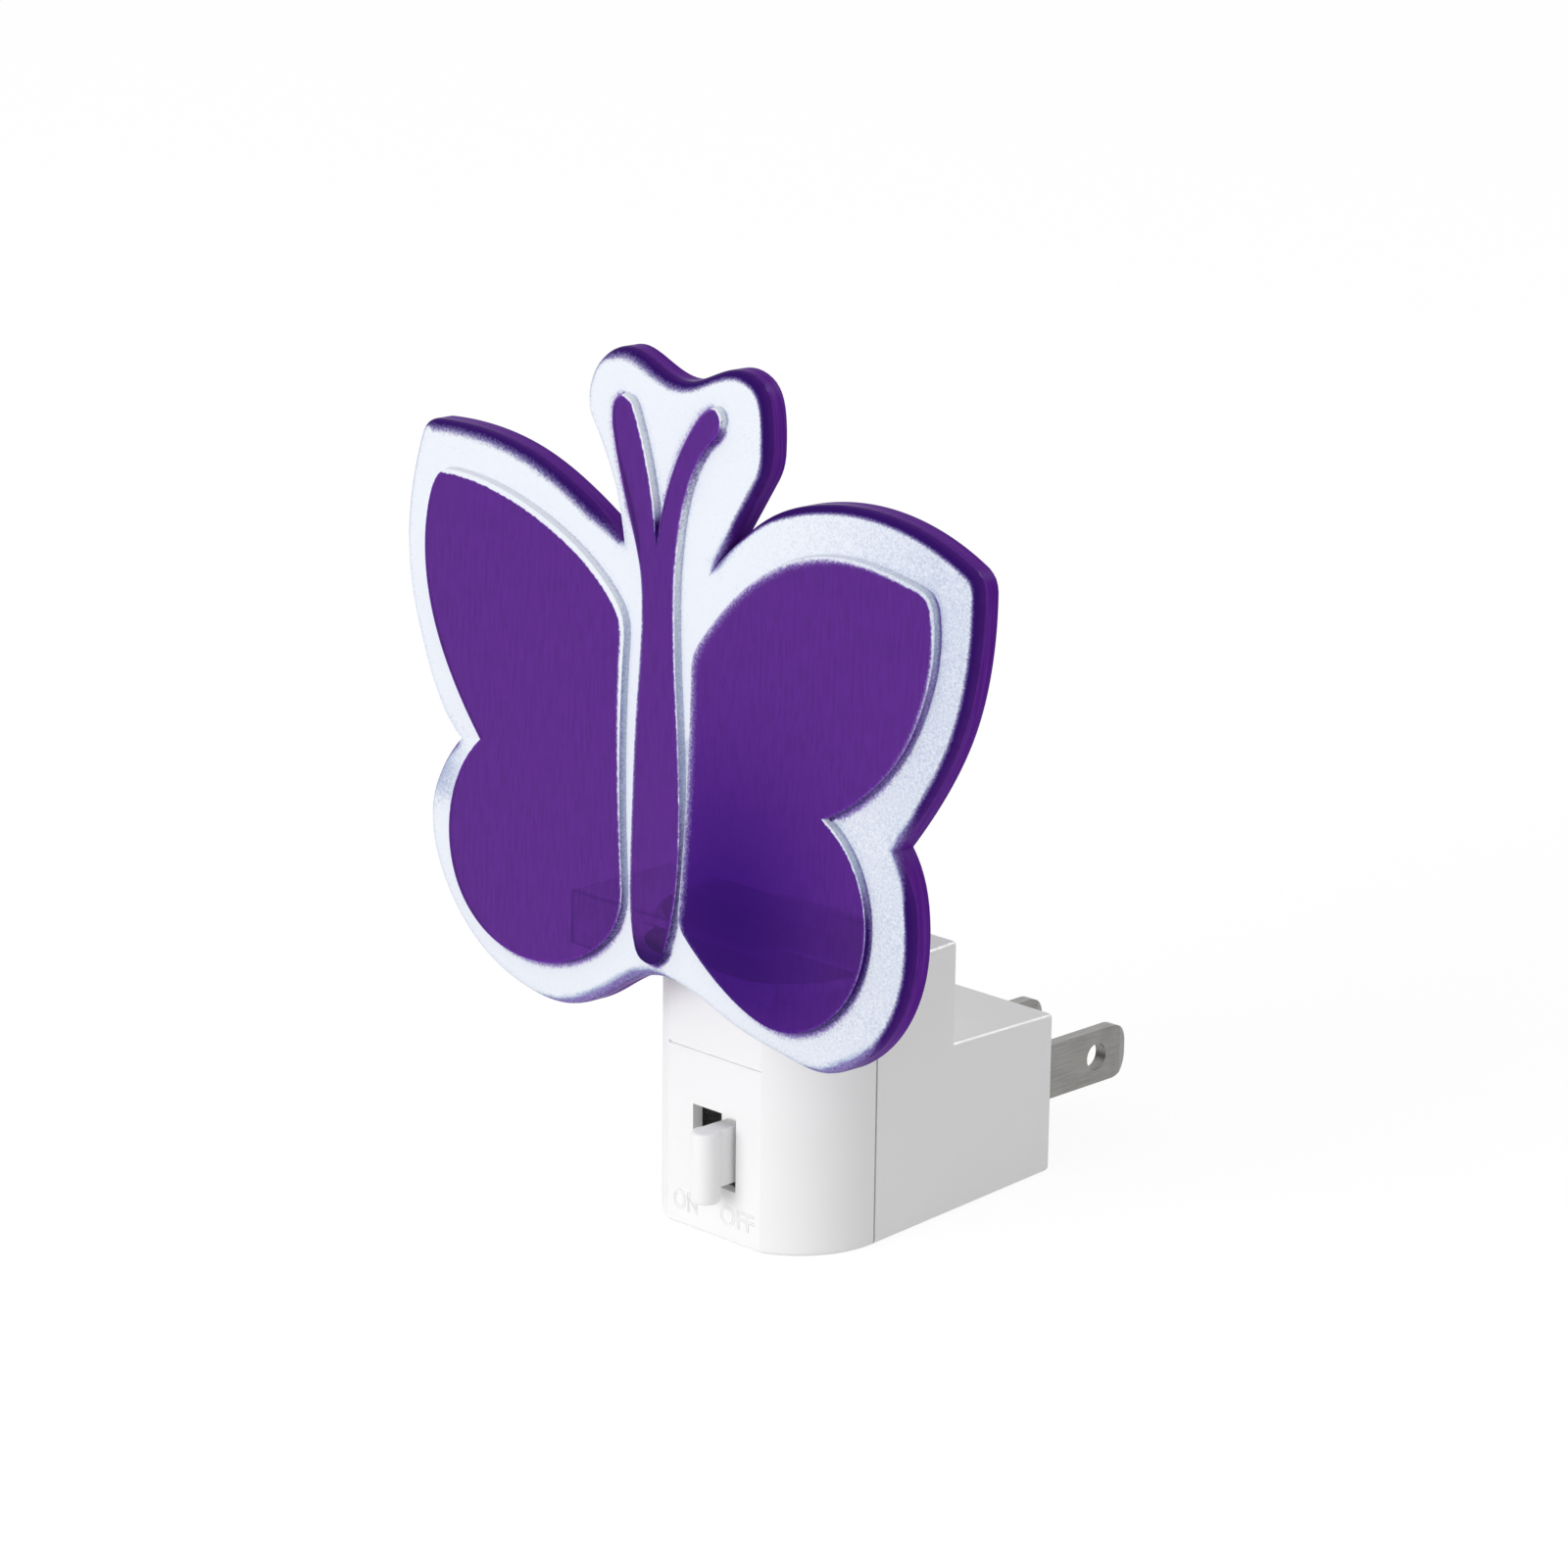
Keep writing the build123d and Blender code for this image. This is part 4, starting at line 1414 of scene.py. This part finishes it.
class SlideSwitch(SubAssembly):
    """The slide switch: its knob, slider, frame, base and contacts."""

    finishes = {
        "white_knob": MouldedPlastic(colour=(0.88, 0.88, 0.88)),
        "black_plastic": MouldedPlastic(colour=(0.03, 0.03, 0.03)),
        "contact_brass": BrushedMetal(colour=(0.70, 0.55, 0.25)),
        "switch_steel": BrushedMetal(colour=(0.55, 0.55, 0.55)),
        "brown_laminate": MouldedPlastic(colour=(0.25, 0.14, 0.07), roughness=0.6, mottle=0.1),
    }


class Plug(SubAssembly):
    """The plug's blades and the wires that lead from them."""

    finishes = {
        "plug_metal": BrushedMetal(colour=(0.29, 0.285, 0.275), roughness=0.34),
        "black_wire": MouldedPlastic(colour=(0.03, 0.03, 0.03), roughness=0.5),
        "white_wire": MouldedPlastic(colour=(0.85, 0.85, 0.83), roughness=0.5),
    }


class Circuit(SubAssembly):
    """The circuit board with its parts and the lamp."""

    finishes = {
        "board_laminate": MouldedPlastic(colour=(0.42, 0.30, 0.13), roughness=0.55, mottle=0.12),
        "capacitor_case": MouldedPlastic(colour=(0.55, 0.08, 0.05), roughness=0.3, mottle=0.08),
        "capacitor_can": MouldedPlastic(colour=(0.10, 0.12, 0.25), roughness=0.35, mottle=0.06),
        "diode_black": MouldedPlastic(colour=(0.04, 0.04, 0.04), roughness=0.45),
        "resistor_tan": MouldedPlastic(colour=(0.66, 0.52, 0.34), mottle=0.06),
        "lamp_lens": TintedAcrylic(tint=(0.92, 0.94, 0.96), roughness=0.06),
        "tinned_lead": BrushedMetal(colour=(0.70, 0.70, 0.70)),
    }


class InnerFittings(SubAssembly):
    """What holds the blades, the lamp and the board: moulded fittings and screws."""

    finishes = {
        "inner_plastic": MouldedPlastic(colour=(0.70, 0.70, 0.68), roughness=0.5),
        "screw_steel": BrushedMetal(colour=(0.60, 0.60, 0.60)),
    }


@dataclass
class Studio:
    """The pale floor, the soft light and the camera. Lengths are in metres."""

    floor_height: float
    floor_size: float = 12.0
    floor_colour: Colour = (0.93, 0.93, 0.93)
    floor_white: float = 0.75
    floor_glow: float = 1.12
    sky_strength: float = 0.62
    key_place: Colour = (-0.1, -1.32, 0.2)
    key_power: float = 12.0
    key_size: float = 0.9
    rear_place: Colour = (0.26, 0.71, 0.63)
    rear_power: float = 9.0
    rear_size: float = 0.45
    camera_place: Colour = (0.37524, -0.41195, 0.19237)
    camera_forward: Colour = (-0.6756, 0.6839, -0.2754)
    camera_up: Colour = (-0.2024, 0.1872, 0.9612)
    camera_lens: float = 119.2
    camera_sensor: float = 36.0
    camera_near: float = 0.01

    def seen(self, graph: ShaderGraph) -> Socket:
        """Tells rays that show the backdrop, straight or by gloss or glass, from rays that only light.

        Args:
            graph: the graph of the floor or the world.

        Returns:
            1 for a ray that shows the backdrop, else 0.
        """
        path = graph.node("ShaderNodeLightPath").outputs
        straight = graph.math("MAXIMUM", path["Is Camera Ray"], path["Is Glossy Ray"])
        return graph.math("MAXIMUM", straight, path["Is Transmission Ray"])

    def sky(self) -> None:
        """Lights the scene evenly from all sides with a white world."""
        world = bpy.data.worlds.new("studio")
        bpy.context.scene.world = world
        graph = ShaderGraph(world)
        strength = graph.span(self.seen(graph), 0.0, 1.0, self.sky_strength, 1.0)
        background = graph.node("ShaderNodeBackground", Color=(1.0, 1.0, 1.0), Strength=strength)
        graph.node("ShaderNodeOutputWorld", Surface=background.outputs["Background"])

    def floor(self) -> None:
        """Lays the floor that the light stands on, which is not part of the object."""
        half = self.floor_size / 2
        corners = [(-half, -half), (half, -half), (half, half), (-half, half)]
        mesh = bpy.data.meshes.new("floor")
        mesh.from_pydata([(x, y, self.floor_height) for x, y in corners], [], [(0, 1, 2, 3)])
        material = bpy.data.materials.new("pale_floor")
        graph = ShaderGraph(material)
        share = graph.math("MULTIPLY", self.seen(graph), self.floor_white)
        matt = graph.node("ShaderNodeBsdfDiffuse", Color=self.floor_colour)
        glow = graph.node("ShaderNodeEmission", Strength=self.floor_glow)
        mixed = graph.node("ShaderNodeMixShader")
        for number, source in enumerate((share, matt.outputs[0], glow.outputs[0])):
            graph.feed(mixed.inputs[number], source)
        graph.node("ShaderNodeOutputMaterial", Surface=mixed.outputs[0])
        coat(mesh, material)
        add_object("floor", mesh)

    def lamp(self, name: str, place: Colour, power: float, size: float) -> bpy.types.Object:
        """Hangs a square soft lamp that points at the light.

        Args:
            name: the lamp's name.
            place: where it hangs.
            power: its power in watts.
            size: its side.

        Returns:
            The lamp.
        """
        lamp = bpy.data.lights.new(name, "AREA")
        lamp.energy = power
        lamp.size = size
        holder = add_object(name, lamp)
        holder.location = place
        holder.rotation_mode = "QUATERNION"
        holder.rotation_quaternion = (-Vector(place)).to_track_quat("-Z", "Y")
        return holder

    def lamps(self) -> None:
        """Hangs a large lamp in front, and a smaller one behind that shows only as gloss along edges."""
        self.lamp("key_lamp", self.key_place, self.key_power, self.key_size)
        rear = self.lamp("rear_lamp", self.rear_place, self.rear_power, self.rear_size)
        rear.visible_diffuse = False
        rear.visible_transmission = False

    def camera(self) -> None:
        """Sets the camera where the photograph was taken from."""
        lens = bpy.data.cameras.new("camera")
        lens.lens = self.camera_lens
        lens.sensor_width = self.camera_sensor
        lens.clip_start = self.camera_near
        back = -Vector(self.camera_forward).normalized()
        right = Vector(self.camera_up).cross(back).normalized()
        up = back.cross(right)
        turned = Matrix((right, up, back)).transposed().to_4x4()
        camera = add_object("camera", lens)
        camera.matrix_world = Matrix.Translation(self.camera_place) @ turned
        bpy.context.scene.camera = camera

    def build(self) -> None:
        """Sets up the whole studio."""
        bpy.context.scene.view_settings.view_transform = "Standard"
        self.sky()
        self.floor()
        self.lamps()
        self.camera()


# deep and indigo are colours of painted shade; the grey-blue thin paint also serves as painted shade on steps
# that face right
PAINTED_PURPLE = PaintedAcrylic(
    tint=(0.133, 0.028, 0.313),
    deep=(0.030, 0.006, 0.115),
    indigo=(0.038, 0.002, 0.178),
    bright=(0.105, 0.012, 0.27),
    paint=(0.76, 0.79, 0.85),
    thin_paint_and_shade=(0.34, 0.40, 0.57),
    haze=(0.38, 0.34, 0.64),
)


def main() -> None:
    """Loads the frame, dresses the light and sets up the studio."""
    logging.basicConfig(level=logging.INFO, format="%(name)s: %(message)s")
    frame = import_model()
    housing = Housing(frame)
    white = housing.dress()[Slot.HOUSING.value]
    for assembly in (SlideSwitch, Plug, Circuit, InnerFittings):
        assembly(frame).dress()
    panel = ButterflyPanel(PanelPlane(frame["nodes"]["butterfly_panel"])).dress(PAINTED_PURPLE)
    LOG.info("panel %s with %d vertices", panel.name, len(panel.data.vertices))
    foot = PanelFoot(frame["nodes"]["panel_foot"])
    foot.dress()
    LOG.info("foot %s in clear acrylic", foot.node.name)
    for word in housing.mould_words(white):
        LOG.info("word %s with %d vertices", word.name, len(word.data.vertices))
    Studio(floor_height=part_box("front_cover")[0].z).build()


if __name__ == "__main__":
    main()
